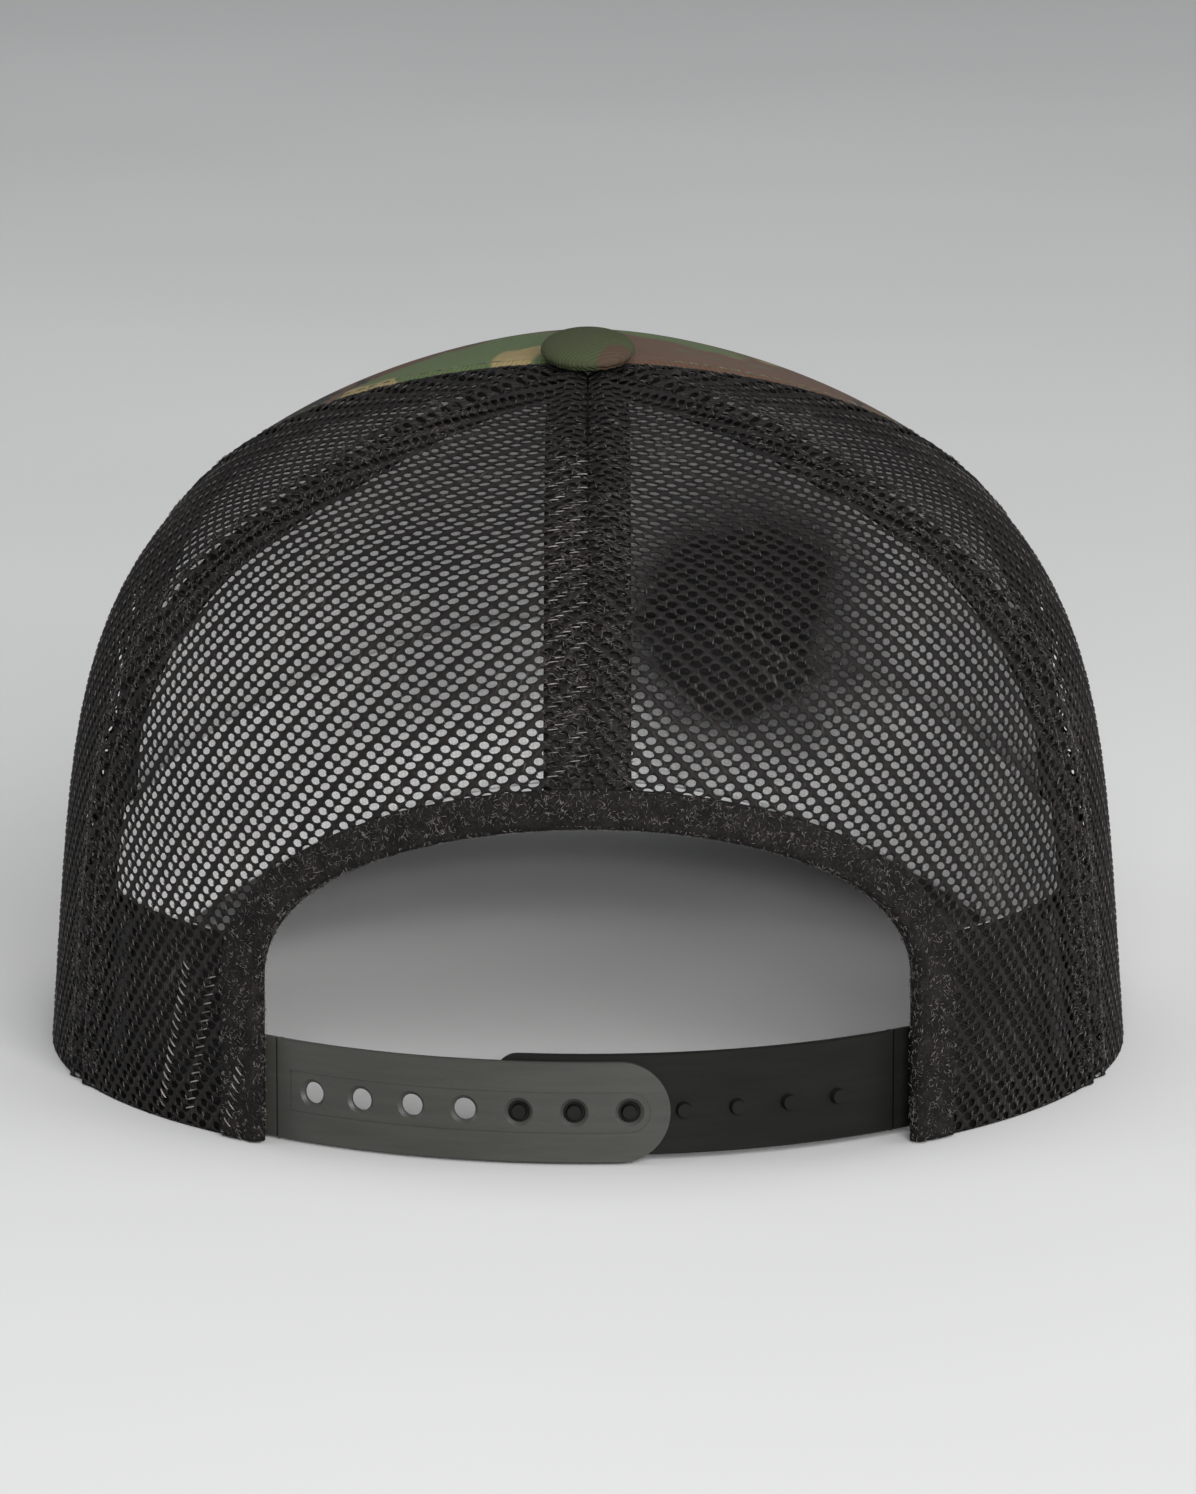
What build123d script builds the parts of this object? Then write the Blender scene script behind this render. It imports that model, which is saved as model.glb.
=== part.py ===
from build123d import *
import math
import os

# Mesh-backed cap with a snap closure. Millimetres, +Z up.
# Origin: centre of the head opening, in the plane of the rim. The visor points along -Y, the strap is at +Y,
# and the wearer's left is +X.

# ---- driving dimensions: crown ----
CROWN_HEIGHT = 122.4
HALF_WIDTH = 94.5
BACK_LENGTH = 96.0
FRONT_LENGTH = 101.0
SIDE_TAPER = 0.092
FRONT_TAPER = 0.04
DOME_POWER = 4.89
DOME_ROUNDNESS = 1.483
APEX_SHIFT = -12.0          # the highest point lies in front of the rim's centre
APEX_SHIFT_POWER = 6
SECTION_HEIGHTS = (-0.05, 0.1, 0.3, 0.48, 0.63, 0.75, 0.84, 0.91, 0.955, 0.984, 0.9985)

# ---- driving dimensions: layers, as depths below the crown's outer surface ----
PANEL = (0.0, 1.2)
LINING = (1.4, 2.2)
MESH_TAPE = (1.4, 2.1)
LINED_TAPE = (2.4, 3.1)
PADDING = (3.4, 5.0)
SWEATBAND = (5.2, 6.4)
SEAM_GAP = 0.25

# ---- driving dimensions: seams, seen from above, for the left side ----
BUTTON_Y = 5.0
FRONT_SEAM = ((0, BUTTON_Y), (25, 0), (42, -7), (70, -24), (125, -60))
BACK_SEAM = ((0, BUTTON_Y), (12, 14), (25, 20.5), (42, 30), (62, 34.5), (125, 34))
FAR = 125.0                 # beyond everything, seen from above
SPARE = 10.0                # how far a cutting shape runs past what it cuts
TRIM_DEPTH = 60.0           # depth of the shapes that cut the crown off at its rim
TAPE_HALF_WIDTH = 6.0
CENTRE_BACK_TAPE_HALF_WIDTH = 7.5
SEAM_SAMPLES = 16
TAPE_CLEARANCE = 0.2

# ---- driving dimensions: back opening and its binding ----
ARCH_HALF_WIDTH = 54.8
ARCH_SPRING = 28.0          # height where the straight sides turn into the arch
ARCH_RISE = 28.6
BINDING_WIDTH = 6.5
BINDING_LEG = 0.8
BINDING_EDGE = 1.0
LAYER_GAP = 0.2

# ---- driving dimensions: sweatband ----
SWEATBAND_BOTTOM = 0.6      # heights above the rim
SWEATBAND_TOP = 33.0
PADDING_BOTTOM = 1.5
PADDING_TOP = 31.0
BAND_END_X = 60.0           # where the sweatband stops beside the back opening
PADDING_END_Y = 45.0

# ---- driving dimensions: visor ----
VISOR_LENGTH = 68.0
VISOR_FRONT_Z = 24.0        # underside of the visor at the middle of the crown's front
VISOR_DROOP = 0.07          # fall per millimetre forward
VISOR_CURVE = 0.00335       # fall per square millimetre sideways
EAR_Y = -42.0
EAR_X = 86.4
VISOR_HALF_WIDTH = 85.5
VISOR_WIDEST_Y = -86.0
VISOR_FULLNESS = 2.25       # 2 makes the front edge an ellipse, more makes it squarer
COVER = 0.7
BOARD = 1.8
COVER_GAP = 0.1
BOARD_INSET = 1.4
COVER_TURN = 0.9            # width of the top cover's turned-down edge
VISOR_CLEARANCE = 0.3
VISOR_SPAN = 100            # half-width of the slab that the visor's pieces are cut from
SIDE_RIM_HALFWAY = 0.294    # share of its climb that the side rim has made halfway to the ears
SIDE_RIM_END_SLOPE = 0.12

# ---- driving dimensions: snap closure ----
STRAP_CENTRE_Y = 5.5
STRAP_RADIUS = 87.6         # outer face of the strap with the holes
STRAP_THICKNESS = 1.2
STRAP_GAP = 0.15
STRAP_BOTTOM = 0.4
STRAP_HEIGHT = 17.2
STRAP_CHAMFER = 0.25
PIN_STRAP_LIFT = 1.0        # how far the strap with the pins sits above the other
HOLE_PITCH_DEG = 6.05
HOLE_COUNT = 7
ENGAGED_PINS = 3
LAST_HOLE_DEG = -4.6
TIP_BEYOND_HOLE = 6.8
TIP_BEYOND_PIN = 4.6
PIN_TIP_CORNER = 4.5
HOLE_RADIUS = 1.85
HOLE_MOUTH_RADIUS = 2.45
HOLE_MOUTH_DEPTH = 0.5
RECESS_DEPTH = 0.2
RECESS_HALF_HEIGHT = 3.5
RECESS_START_DEG = 34.6
PIN_BASE_RADIUS = 1.45
PIN_TOP_RADIUS = 1.15
PIN_REACH = 1.2
CUTTER = 2.0                # thickness of the shapes that cut the recess
FILLET_SLACK = 0.05         # a fillet stays this much under half the strap's height
HINGE_DEG = 36.2            # where each strap bends beside the binding
HINGE_CLEARANCE = 0.15
ROOT_END_DEG = 42.0

# ---- driving dimensions: button ----
BUTTON_RADIUS = 8.2
BUTTON_RISE = 4.2
BUTTON_COVER = 0.6
BUTTON_SHELL = 0.5
BUTTON_SEAT = 0.9           # how far the button's edge stands above the crown on its axis
POST_RADIUS = 1.2
POST_HOLE_RADIUS = 1.6
WASHER_RADIUS = 5.0
WASHER_THICKNESS = 0.6
WASHER_GAP = 0.5
POST_GAP = 0.1
BUTTON_FIT = 0.05           # between the button's cover and its shell
BUTTON_TURN_IN = 0.6
BUTTON_EDGE = 0.9           # height of the button's widest circle above its foot
BUTTON_SHOULDER = (0.8, 0.72)


# ---- crown surface ----

def dome_scale(fraction, taper):
    """Size of the crown's oval at a fraction of its height, as a share of its size at the rim."""
    q = min(max(fraction, 0.0), 1.0)
    return (1 - taper * q) * (1 - q ** DOME_POWER) ** (1 / DOME_ROUNDNESS)


def inward_normal(fraction):
    """Radial and vertical parts of the side profile's inward normal."""
    step = 1e-4
    low = max(fraction - step, 0.0)
    high = min(fraction + step, 1.0)
    if fraction <= 0:
        return 1.0, 0.0
    run = HALF_WIDTH * (dome_scale(low, SIDE_TAPER) - dome_scale(high, SIDE_TAPER))
    rise = CROWN_HEIGHT * (high - low)
    length = math.hypot(run, rise)
    return rise / length, run / length


def apex_offset(fraction):
    return APEX_SHIFT * max(fraction, 0.0) ** APEX_SHIFT_POWER


def oval(fraction, depth):
    """One horizontal section of the surface that lies depth inside the crown's outer surface."""
    radial, vertical = inward_normal(fraction)
    side = HALF_WIDTH * dome_scale(fraction, SIDE_TAPER) - depth * radial
    back = BACK_LENGTH * dome_scale(fraction, SIDE_TAPER) - depth * radial
    front = FRONT_LENGTH * dome_scale(fraction, FRONT_TAPER) - depth * radial
    height = CROWN_HEIGHT * fraction - depth * vertical
    middle = apex_offset(fraction)
    plane = Plane.XY.offset(height)
    back_arc = EllipticalCenterArc((0, middle), side, back, start_angle=0, arc_size=180)
    front_arc = EllipticalCenterArc((0, middle), side, front, start_angle=180, arc_size=180)
    return plane * make_face(Wire([back_arc, front_arc]))


dome_cache = {}


def dome(depth):
    """Solid inside the surface that lies depth below the crown's outer surface."""
    if depth not in dome_cache:
        dome_cache[depth] = loft([oval(fraction, depth) for fraction in SECTION_HEIGHTS])
    return dome_cache[depth]


def crown_height(y):
    """Height of the crown's outer surface on its centre line."""
    low, high = 0.0, 1.0
    for _ in range(60):
        fraction = (low + high) / 2
        reach = y - apex_offset(fraction)
        length = BACK_LENGTH * dome_scale(fraction, SIDE_TAPER)
        if reach < length:
            low = fraction
        else:
            high = fraction
    return CROWN_HEIGHT * low


def layer(depths):
    return dome(depths[0]) - dome(depths[1])


# ---- plan shapes ----

def seam_curve(points):
    return Spline(*points)


def strip(points, half_width, samples=SEAM_SAMPLES):
    """Band along a seam, seen from above."""
    curve = seam_curve(points)
    left = []
    right = []
    for i in range(samples + 1):
        place = curve @ (i / samples)
        along = curve % (i / samples)
        across = Vector(-along.Y, along.X) * half_width
        left.append(place + across)
        right.append(place - across)
    outline = [Spline(*left), Line(left[-1], right[-1]), Spline(*reversed(right)), Line(right[0], left[0])]
    return make_face(outline)


def prism(face, low=-SPARE, high=CROWN_HEIGHT + SPARE):
    """Upright solid over a plan shape."""
    return extrude(Pos(0, 0, low) * face, high - low)


def straight_strip(y_end, half_width):
    middle = (BUTTON_Y + y_end) / 2
    return Pos(0, middle) * Rectangle(2 * half_width, abs(y_end - BUTTON_Y))


def wedge(first, second, corners):
    """Plan shape between two seams that start at the button, closed through the outer corners."""
    start = first[-1]
    end = second[-1]
    rim = Polyline(start, *corners, end)
    first_edge = seam_curve(first) if len(first) > 2 else Line(*first)
    second_edge = seam_curve(second) if len(second) > 2 else Line(*second)
    return make_face([first_edge, *rim.edges(), second_edge])


CENTRE_BACK = ((0, BUTTON_Y), (0, FAR))
CENTRE_FRONT = ((0, BUTTON_Y), (0, -FAR))

half_gap = SEAM_GAP / 2
centre_gap = Rectangle(SEAM_GAP, 2 * FAR)
front_seam_gap = strip(FRONT_SEAM, half_gap)
back_seam_gap = strip(BACK_SEAM, half_gap)

front_plan = wedge(FRONT_SEAM, CENTRE_FRONT, [(FAR, -FAR)]) - centre_gap - front_seam_gap
side_plan = wedge(BACK_SEAM, FRONT_SEAM, []) - back_seam_gap - front_seam_gap
back_plan = wedge(CENTRE_BACK, BACK_SEAM, [(FAR, FAR)]) - centre_gap - back_seam_gap


# ---- solids that trim the crown ----

def visor_slab(low, high):
    """Arched, forward-drooping slab between two heights above the visor's underside."""
    across = range(-VISOR_SPAN, VISOR_SPAN + 1, VISOR_SPAN // 5)
    bottom = Spline(*[(x, low - VISOR_CURVE * x * x) for x in across])
    top = Spline(*[(x, high - VISOR_CURVE * x * x) for x in reversed(across)])
    profile = make_face([bottom, Line(bottom @ 1, top @ 0), top, Line(top @ 1, bottom @ 0)])
    start = Vector(0, EAR_Y, VISOR_FRONT_Z + VISOR_DROOP * (EAR_Y + FRONT_LENGTH))
    run = Vector(0, -1, -VISOR_DROOP) * (FRONT_LENGTH + VISOR_LENGTH + SPARE + EAR_Y)
    face = Plane(origin=start, x_dir=(1, 0, 0), z_dir=(0, -1, 0)) * profile
    return extrude(face, amount=run.length, dir=run.normalized())


def below_side_rim():
    """Everything under the rim where it climbs from the ears' level to the visor's ends."""
    ear_z = VISOR_FRONT_Z + VISOR_DROOP * (EAR_Y + FRONT_LENGTH) - VISOR_CURVE * EAR_X ** 2
    halfway = (EAR_Y / 2, ear_z * SIDE_RIM_HALFWAY)
    climb = Spline((0, 0), halfway, (EAR_Y, ear_z), tangents=[(-1, 0), (-1, SIDE_RIM_END_SLOPE)])
    under = Polyline((EAR_Y, ear_z), (EAR_Y, -TRIM_DEPTH), (0, -TRIM_DEPTH), (0, 0))
    face = Plane.YZ * make_face([climb, *under.edges()])
    return extrude(face, amount=FAR, both=True)


def below_rim():
    slab = Pos(0, 0, -TRIM_DEPTH / 2) * Box(3 * FAR, 3 * FAR, TRIM_DEPTH)
    return slab + below_side_rim() + visor_slab(-TRIM_DEPTH, 0.0)


def arch_face(margin):
    """The back opening's outline in the XZ plane, grown by a margin."""
    half = ARCH_HALF_WIDTH + margin
    low = -2 * SPARE
    sides = Pos(0, (low + ARCH_SPRING) / 2) * Rectangle(2 * half, ARCH_SPRING - low)
    top = Pos(0, ARCH_SPRING) * Ellipse(half, ARCH_RISE + margin)
    return sides + top


def arch_block(margin):
    """The back opening as a solid that runs from the middle of the cap out through its back."""
    face = Plane.XZ * arch_face(margin)
    return extrude(face, amount=-FAR)


# ---- crown pieces ----

trim = below_rim()
button_tilt = math.atan2(crown_height(BUTTON_Y + 1) - crown_height(BUTTON_Y - 1), 2)
button_axis = Plane(
    origin=(0, BUTTON_Y, crown_height(BUTTON_Y)),
    x_dir=(1, 0, 0),
    z_dir=(0, -math.sin(button_tilt), math.cos(button_tilt)),
)
post_hole = button_axis * Cylinder(POST_HOLE_RADIUS, 4 * SPARE)
panel_opening = arch_block(BINDING_EDGE + LAYER_GAP)
binding_opening = arch_block(BINDING_WIDTH + LAYER_GAP)


def sewn(depths, plan, *cuts):
    """One cut piece of the crown: a layer of it over a plan shape, less what is trimmed away."""
    piece = layer(depths) & prism(plan)
    for cut in (trim, post_hole, *cuts):
        piece = piece - cut
    return piece


def only_solid(shape):
    return max(shape.solids(), key=lambda solid: solid.volume)


def panels():
    left = {
        "front_panel": sewn(PANEL, front_plan),
        "side_panel": sewn(PANEL, side_plan),
        "back_panel": sewn(PANEL, back_plan, panel_opening),
        "front_lining": sewn(LINING, front_plan),
    }
    pieces = {}
    for name, shape in left.items():
        pieces[name + "_left"] = only_solid(shape)
        pieces[name + "_right"] = only_solid(mirror(shape, Plane.YZ))
    return pieces


def seam_tapes():
    """Tapes inside the seams. Where they meet under the button each gives way to the one before it."""
    grown = TAPE_CLEARANCE
    back_strip = straight_strip(FAR, CENTRE_BACK_TAPE_HALF_WIDTH)
    back_keep = straight_strip(FAR, CENTRE_BACK_TAPE_HALF_WIDTH + grown)
    front_strip = straight_strip(-FAR, TAPE_HALF_WIDTH)
    front_keep = straight_strip(-FAR, TAPE_HALF_WIDTH + grown)
    side_strip = strip(BACK_SEAM, TAPE_HALF_WIDTH)
    side_keep = strip(BACK_SEAM, TAPE_HALF_WIDTH + grown)
    ear_strip = strip(FRONT_SEAM, TAPE_HALF_WIDTH)
    lined = front_plan + strip(FRONT_SEAM, TAPE_HALF_WIDTH + grown)
    side_back = sewn(MESH_TAPE, side_strip - back_keep - lined - mirror(lined, Plane.YZ))
    front_side = sewn(LINED_TAPE, ear_strip - front_keep - side_keep - back_keep)
    return {
        "centre_back_seam_tape": only_solid(sewn(MESH_TAPE, back_strip, binding_opening)),
        "centre_front_seam_tape": only_solid(sewn(LINED_TAPE, front_strip)),
        "side_back_seam_tape_left": only_solid(side_back),
        "side_back_seam_tape_right": only_solid(mirror(side_back, Plane.YZ)),
        "front_side_seam_tape_left": only_solid(front_side),
        "front_side_seam_tape_right": only_solid(mirror(front_side, Plane.YZ)),
    }


def arch_binding():
    """Tape folded over the edge of the back opening: a leg on each side and a closed edge."""
    outside = PANEL[0] - LAYER_GAP - BINDING_LEG
    inside = PANEL[1] + LAYER_GAP + BINDING_LEG
    band = (dome(outside) - dome(inside)) & (arch_block(BINDING_WIDTH) - arch_block(0))
    slot = layer((PANEL[0] - LAYER_GAP, PANEL[1] + LAYER_GAP)) - arch_block(BINDING_EDGE)
    return only_solid(band - slot - trim)


def head_band(depths, gap_half_width, gap_start_y, low, high):
    """Band inside the crown that follows the rim between two heights above it, open at the back."""
    band = (layer(depths) & (Pos(0, 0, high) * trim)) - Pos(0, 0, low) * trim
    gap = Pos(0, gap_start_y + FAR / 2) * Rectangle(2 * gap_half_width, FAR)
    return only_solid(band - prism(gap))


# ---- visor ----

def visor_plan(inset):
    """Visor seen from above, out to its edge less an inset."""
    half = VISOR_HALF_WIDTH - inset
    forward = FRONT_LENGTH + VISOR_LENGTH + VISOR_WIDEST_Y - inset
    power = 2 / VISOR_FULLNESS
    turns = [math.radians(15 * i) for i in range(7)]
    points = []
    for turn in turns[:-1]:
        points.append((half * math.cos(turn) ** power, VISOR_WIDEST_Y - forward * math.sin(turn) ** power))
    points.append((0, VISOR_WIDEST_Y - forward))
    edge = Spline((EAR_X - inset, EAR_Y), *points, tangents=[(0, -1), (-1, 0)])
    return make_face([edge, mirror(edge, Plane.YZ), Line((EAR_X - inset, EAR_Y), (inset - EAR_X, EAR_Y))])


def visor():
    outside_crown = dome(-VISOR_CLEARANCE)

    def piece(low, high, plan):
        return (visor_slab(low, high) & prism(plan)) - outside_crown

    under_top = COVER
    board_bottom = under_top + COVER_GAP
    board_top = board_bottom + BOARD
    top_bottom = board_top + COVER_GAP
    full = visor_plan(0)
    edge = full - visor_plan(COVER_TURN)
    top = piece(top_bottom, top_bottom + COVER, full) + piece(board_bottom, top_bottom, edge)
    return {
        "visor_under_cover": only_solid(piece(0, under_top, full)),
        "visor_board": only_solid(piece(board_bottom, board_top, visor_plan(BOARD_INSET))),
        "visor_top_cover": only_solid(top),
    }


# ---- snap closure ----

def strap_arc(outer, start_deg, end_deg, low, high):
    """Curved band with chamfered edges, between two angles measured from +Y towards +X."""
    inner = outer - STRAP_THICKNESS
    profile = chamfer(Rectangle(STRAP_THICKNESS, high - low).vertices(), STRAP_CHAMFER)
    section = Plane.XZ * Pos((outer + inner) / 2, (low + high) / 2) * profile
    band = revolve(section, Axis.Z, revolution_arc=end_deg - start_deg)
    return Pos(0, STRAP_CENTRE_Y) * Rot(0, 0, 90 - end_deg) * band


def radial(angle_deg, height):
    """Plane on the closure's axis that looks outwards at an angle from +Y towards +X."""
    angle = math.radians(angle_deg)
    out = (math.sin(angle), math.cos(angle), 0)
    return Plane(origin=(0, STRAP_CENTRE_Y, height), x_dir=(math.cos(angle), -math.sin(angle), 0), z_dir=out)


def hinge_line(outer, side):
    """Foot of the upright line that a strap bends about."""
    angle = math.radians(HINGE_DEG)
    radius = outer - STRAP_THICKNESS / 2
    return Pos(side * radius * math.sin(angle), STRAP_CENTRE_Y + radius * math.cos(angle))


def knuckle(outer, side, radius, low, high):
    return hinge_line(outer, side) * Pos(0, 0, (low + high) / 2) * Cylinder(radius, high - low)


def rounded_tip(band, outer, tip_deg, corner, low, high, side):
    """Rounds the two corners of a strap's free end."""
    height = high - low
    plane = radial(tip_deg, (low + high) / 2)
    end = Pos(-side * height / 2, 0) * Rectangle(height, height)
    corners = end.vertices().sort_by(Axis.X)
    tip_corners = corners[-2:] if side > 0 else corners[:2]
    around = Rectangle(2 * corner, 2 * height) - fillet(tip_corners, corner)
    cutter = extrude(plane.offset(outer - SPARE) * around, 2 * SPARE)
    return only_solid(band - cutter)


HOLE_ANGLES = [LAST_HOLE_DEG + i * HOLE_PITCH_DEG for i in range(HOLE_COUNT)]
PIN_ANGLES = [HOLE_ANGLES[ENGAGED_PINS - 1] - i * HOLE_PITCH_DEG for i in range(HOLE_COUNT)]
STRAP_TOP = STRAP_BOTTOM + STRAP_HEIGHT
STRAP_MIDDLE = STRAP_BOTTOM + STRAP_HEIGHT / 2
PIN_STRAP_RADIUS = STRAP_RADIUS - STRAP_THICKNESS - STRAP_GAP
PIN_STRAP_BOTTOM = STRAP_BOTTOM + PIN_STRAP_LIFT
PIN_STRAP_TOP = STRAP_TOP + PIN_STRAP_LIFT
HINGE_RADIUS = STRAP_THICKNESS / 2


def hole_strap():
    """Outer strap: a row of holes with flared mouths in a shallow recess, and a round free end."""
    tip_deg = LAST_HOLE_DEG - math.degrees(TIP_BEYOND_HOLE / STRAP_RADIUS)
    band = strap_arc(STRAP_RADIUS, tip_deg, HINGE_DEG, STRAP_BOTTOM, STRAP_TOP)
    corner = STRAP_HEIGHT / 2 - FILLET_SLACK
    band = rounded_tip(band, STRAP_RADIUS, tip_deg, corner, STRAP_BOTTOM, STRAP_TOP, -1)
    band = band + knuckle(STRAP_RADIUS, 1, HINGE_RADIUS, STRAP_BOTTOM, STRAP_TOP)
    floor_radius = STRAP_RADIUS - RECESS_DEPTH
    low = STRAP_MIDDLE - RECESS_HALF_HEIGHT
    high = STRAP_MIDDLE + RECESS_HALF_HEIGHT
    section = Plane.XZ * Pos(floor_radius + CUTTER / 2, (low + high) / 2) * Rectangle(CUTTER, high - low)
    recess = revolve(section, Axis.Z, revolution_arc=RECESS_START_DEG - LAST_HOLE_DEG)
    band = band - Pos(0, STRAP_CENTRE_Y) * Rot(0, 0, 90 - RECESS_START_DEG) * recess
    last = radial(LAST_HOLE_DEG, STRAP_MIDDLE)
    band = band - extrude(last.offset(floor_radius) * Circle(RECESS_HALF_HEIGHT), CUTTER)
    mouth_middle = floor_radius - HOLE_MOUTH_DEPTH / 2
    for angle in HOLE_ANGLES:
        plane = radial(angle, STRAP_MIDDLE)
        band = band - plane.offset(STRAP_RADIUS) * Cylinder(HOLE_RADIUS, 5 * STRAP_THICKNESS)
        band = band - plane.offset(mouth_middle) * Cone(HOLE_RADIUS, HOLE_MOUTH_RADIUS, HOLE_MOUTH_DEPTH)
    return only_solid(band)


def pin_strap():
    """Inner strap with a row of short tapered pins."""
    tip_deg = PIN_ANGLES[0] + math.degrees(TIP_BEYOND_PIN / PIN_STRAP_RADIUS)
    band = strap_arc(PIN_STRAP_RADIUS, -HINGE_DEG, tip_deg, PIN_STRAP_BOTTOM, PIN_STRAP_TOP)
    band = rounded_tip(band, PIN_STRAP_RADIUS, tip_deg, PIN_TIP_CORNER, PIN_STRAP_BOTTOM, PIN_STRAP_TOP, 1)
    band = band + knuckle(PIN_STRAP_RADIUS, -1, HINGE_RADIUS, PIN_STRAP_BOTTOM, PIN_STRAP_TOP)
    root = STRAP_THICKNESS / 2
    post = Pos(0, 0, (PIN_REACH - root) / 2) * Cone(PIN_BASE_RADIUS, PIN_TOP_RADIUS, PIN_REACH + root)
    for angle in PIN_ANGLES:
        band = band + radial(angle, STRAP_MIDDLE).offset(PIN_STRAP_RADIUS) * post
    return only_solid(band)


def strap_root(outer, side, low, high):
    """Sewn-in end of a strap, hollowed where the moving part turns against it."""
    start, end = sorted((side * HINGE_DEG, side * ROOT_END_DEG))
    band = strap_arc(outer, start, end, low, high)
    return only_solid(band - knuckle(outer, side, HINGE_RADIUS + HINGE_CLEARANCE, low - SPARE, high + SPARE))


# ---- button ----

def cap_outline(radius, rise, foot):
    """Half section of a domed disc whose edge turns in towards its foot."""
    widest = (radius, BUTTON_EDGE)
    shoulder = (radius * BUTTON_SHOULDER[0], rise * BUTTON_SHOULDER[1])
    sides = Polyline((0, rise), (0, foot), (radius - BUTTON_TURN_IN, foot), widest)
    dome_edge = Spline(widest, shoulder, (0, rise), tangents=[(0, 1), (-1, 0)])
    return make_face([*sides.edges(), dome_edge])


def cap_of(radius, rise, thickness):
    """Domed disc with a turned-in edge, hollow underneath, on its own Z axis."""
    hollow = cap_outline(radius - thickness, rise - thickness, -thickness)
    return revolve(Plane.XZ * (cap_outline(radius, rise, 0) - hollow), Axis.Z)


def button():
    seat = button_axis.offset(BUTTON_SEAT)
    cover = cap_of(BUTTON_RADIUS, BUTTON_RISE, BUTTON_COVER)
    shell_rise = BUTTON_RISE - BUTTON_COVER - BUTTON_FIT
    shell = cap_of(BUTTON_RADIUS - BUTTON_COVER - BUTTON_FIT, shell_rise, BUTTON_SHELL)
    washer_depth = LINED_TAPE[1] + WASHER_GAP + BUTTON_SEAT
    post_top = shell_rise - BUTTON_SHELL - POST_GAP
    post_length = post_top + washer_depth
    post = Pos(0, 0, post_top - post_length / 2) * Cylinder(POST_RADIUS, post_length)
    washer = Pos(0, 0, -washer_depth - WASHER_THICKNESS / 2) * Cylinder(WASHER_RADIUS, WASHER_THICKNESS)
    return {
        "button_cover": only_solid(seat * cover),
        "button_shell": only_solid(seat * shell),
        "button_rivet": only_solid(seat * (post + washer)),
    }


def build():
    parts = {}
    parts.update(panels())
    parts.update(seam_tapes())
    parts["arch_binding"] = arch_binding()
    parts["sweatband_padding"] = head_band(PADDING, FAR, PADDING_END_Y, PADDING_BOTTOM, PADDING_TOP)
    parts["sweatband"] = head_band(SWEATBAND, BAND_END_X, BUTTON_Y, SWEATBAND_BOTTOM, SWEATBAND_TOP)
    parts.update(visor())
    parts["hole_strap"] = hole_strap()
    parts["pin_strap"] = pin_strap()
    parts["hole_strap_root"] = strap_root(STRAP_RADIUS, 1, STRAP_BOTTOM, STRAP_TOP)
    parts["pin_strap_root"] = strap_root(PIN_STRAP_RADIUS, -1, PIN_STRAP_BOTTOM, PIN_STRAP_TOP)
    parts.update(button())
    return parts


os.makedirs("parts", exist_ok=True)
for name, shape in build().items():
    shape.label = name
    export_step(shape, f"parts/{name}.step")
    print(name, round(shape.volume, 1))
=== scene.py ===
import math

import bpy
import numpy as np
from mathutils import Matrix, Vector


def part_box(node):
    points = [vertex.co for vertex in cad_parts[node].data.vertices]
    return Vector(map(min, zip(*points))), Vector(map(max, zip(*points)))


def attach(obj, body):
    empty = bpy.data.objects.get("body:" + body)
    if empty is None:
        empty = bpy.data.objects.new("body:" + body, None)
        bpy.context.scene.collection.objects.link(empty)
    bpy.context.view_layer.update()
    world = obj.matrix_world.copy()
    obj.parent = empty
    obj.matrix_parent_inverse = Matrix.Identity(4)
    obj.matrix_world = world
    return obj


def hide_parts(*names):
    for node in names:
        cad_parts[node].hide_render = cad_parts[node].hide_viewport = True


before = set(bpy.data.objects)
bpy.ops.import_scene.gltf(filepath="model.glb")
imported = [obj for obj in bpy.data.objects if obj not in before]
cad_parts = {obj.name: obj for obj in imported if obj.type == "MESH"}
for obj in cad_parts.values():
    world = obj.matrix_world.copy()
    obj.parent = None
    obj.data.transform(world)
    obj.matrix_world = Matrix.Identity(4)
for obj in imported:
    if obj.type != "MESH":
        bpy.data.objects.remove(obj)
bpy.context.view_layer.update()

# Metres. +Z up, the visor along -Y, the back opening at +Y and the wearer's left at +X.
MM = 0.001
RANDOM = np.random.default_rng(7)

# ---- crown, with the design's own numbers ----
CROWN_HEIGHT = 122.4 * MM
HALF_WIDTH = 94.5 * MM
BACK_LENGTH = 96.0 * MM
FRONT_LENGTH = 101.0 * MM
SIDE_TAPER = 0.092
FRONT_TAPER = 0.04
DOME_POWER = 4.89
DOME_ROUNDNESS = 1.483
APEX_SHIFT = -12.0 * MM
APEX_SHIFT_POWER = 6
BUTTON_Y = 5.0 * MM
FRONT_SEAM = ((0, 5), (25, 0), (42, -7), (70, -24), (125, -60))
BACK_SEAM = ((0, 5), (12, 14), (25, 20.5), (42, 30), (62, 34.5), (125, 34))
PULL_START = 0.75           # above this share of the height the plan ovals move towards the button
TOP = 0.9975

# ---- back opening, rim and visor ----
ARCH_HALF_WIDTH = 54.8 * MM
ARCH_SPRING = 28.0 * MM
ARCH_RISE = 28.6 * MM
EAR_X = 86.4 * MM
EAR_Y = -42.0 * MM
VISOR_FRONT_Z = 24.0 * MM
VISOR_DROOP = 0.07
VISOR_CURVE = 3.35
SIDE_RIM_POWER = 1.766
VISOR_LENGTH = 68.0 * MM
VISOR_HALF_WIDTH = 85.5 * MM
VISOR_WIDEST_Y = -86.0 * MM
VISOR_FULLNESS = 2.25
EAR_Z = VISOR_FRONT_Z + VISOR_DROOP * (EAR_Y + FRONT_LENGTH) - VISOR_CURVE * EAR_X ** 2

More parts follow.
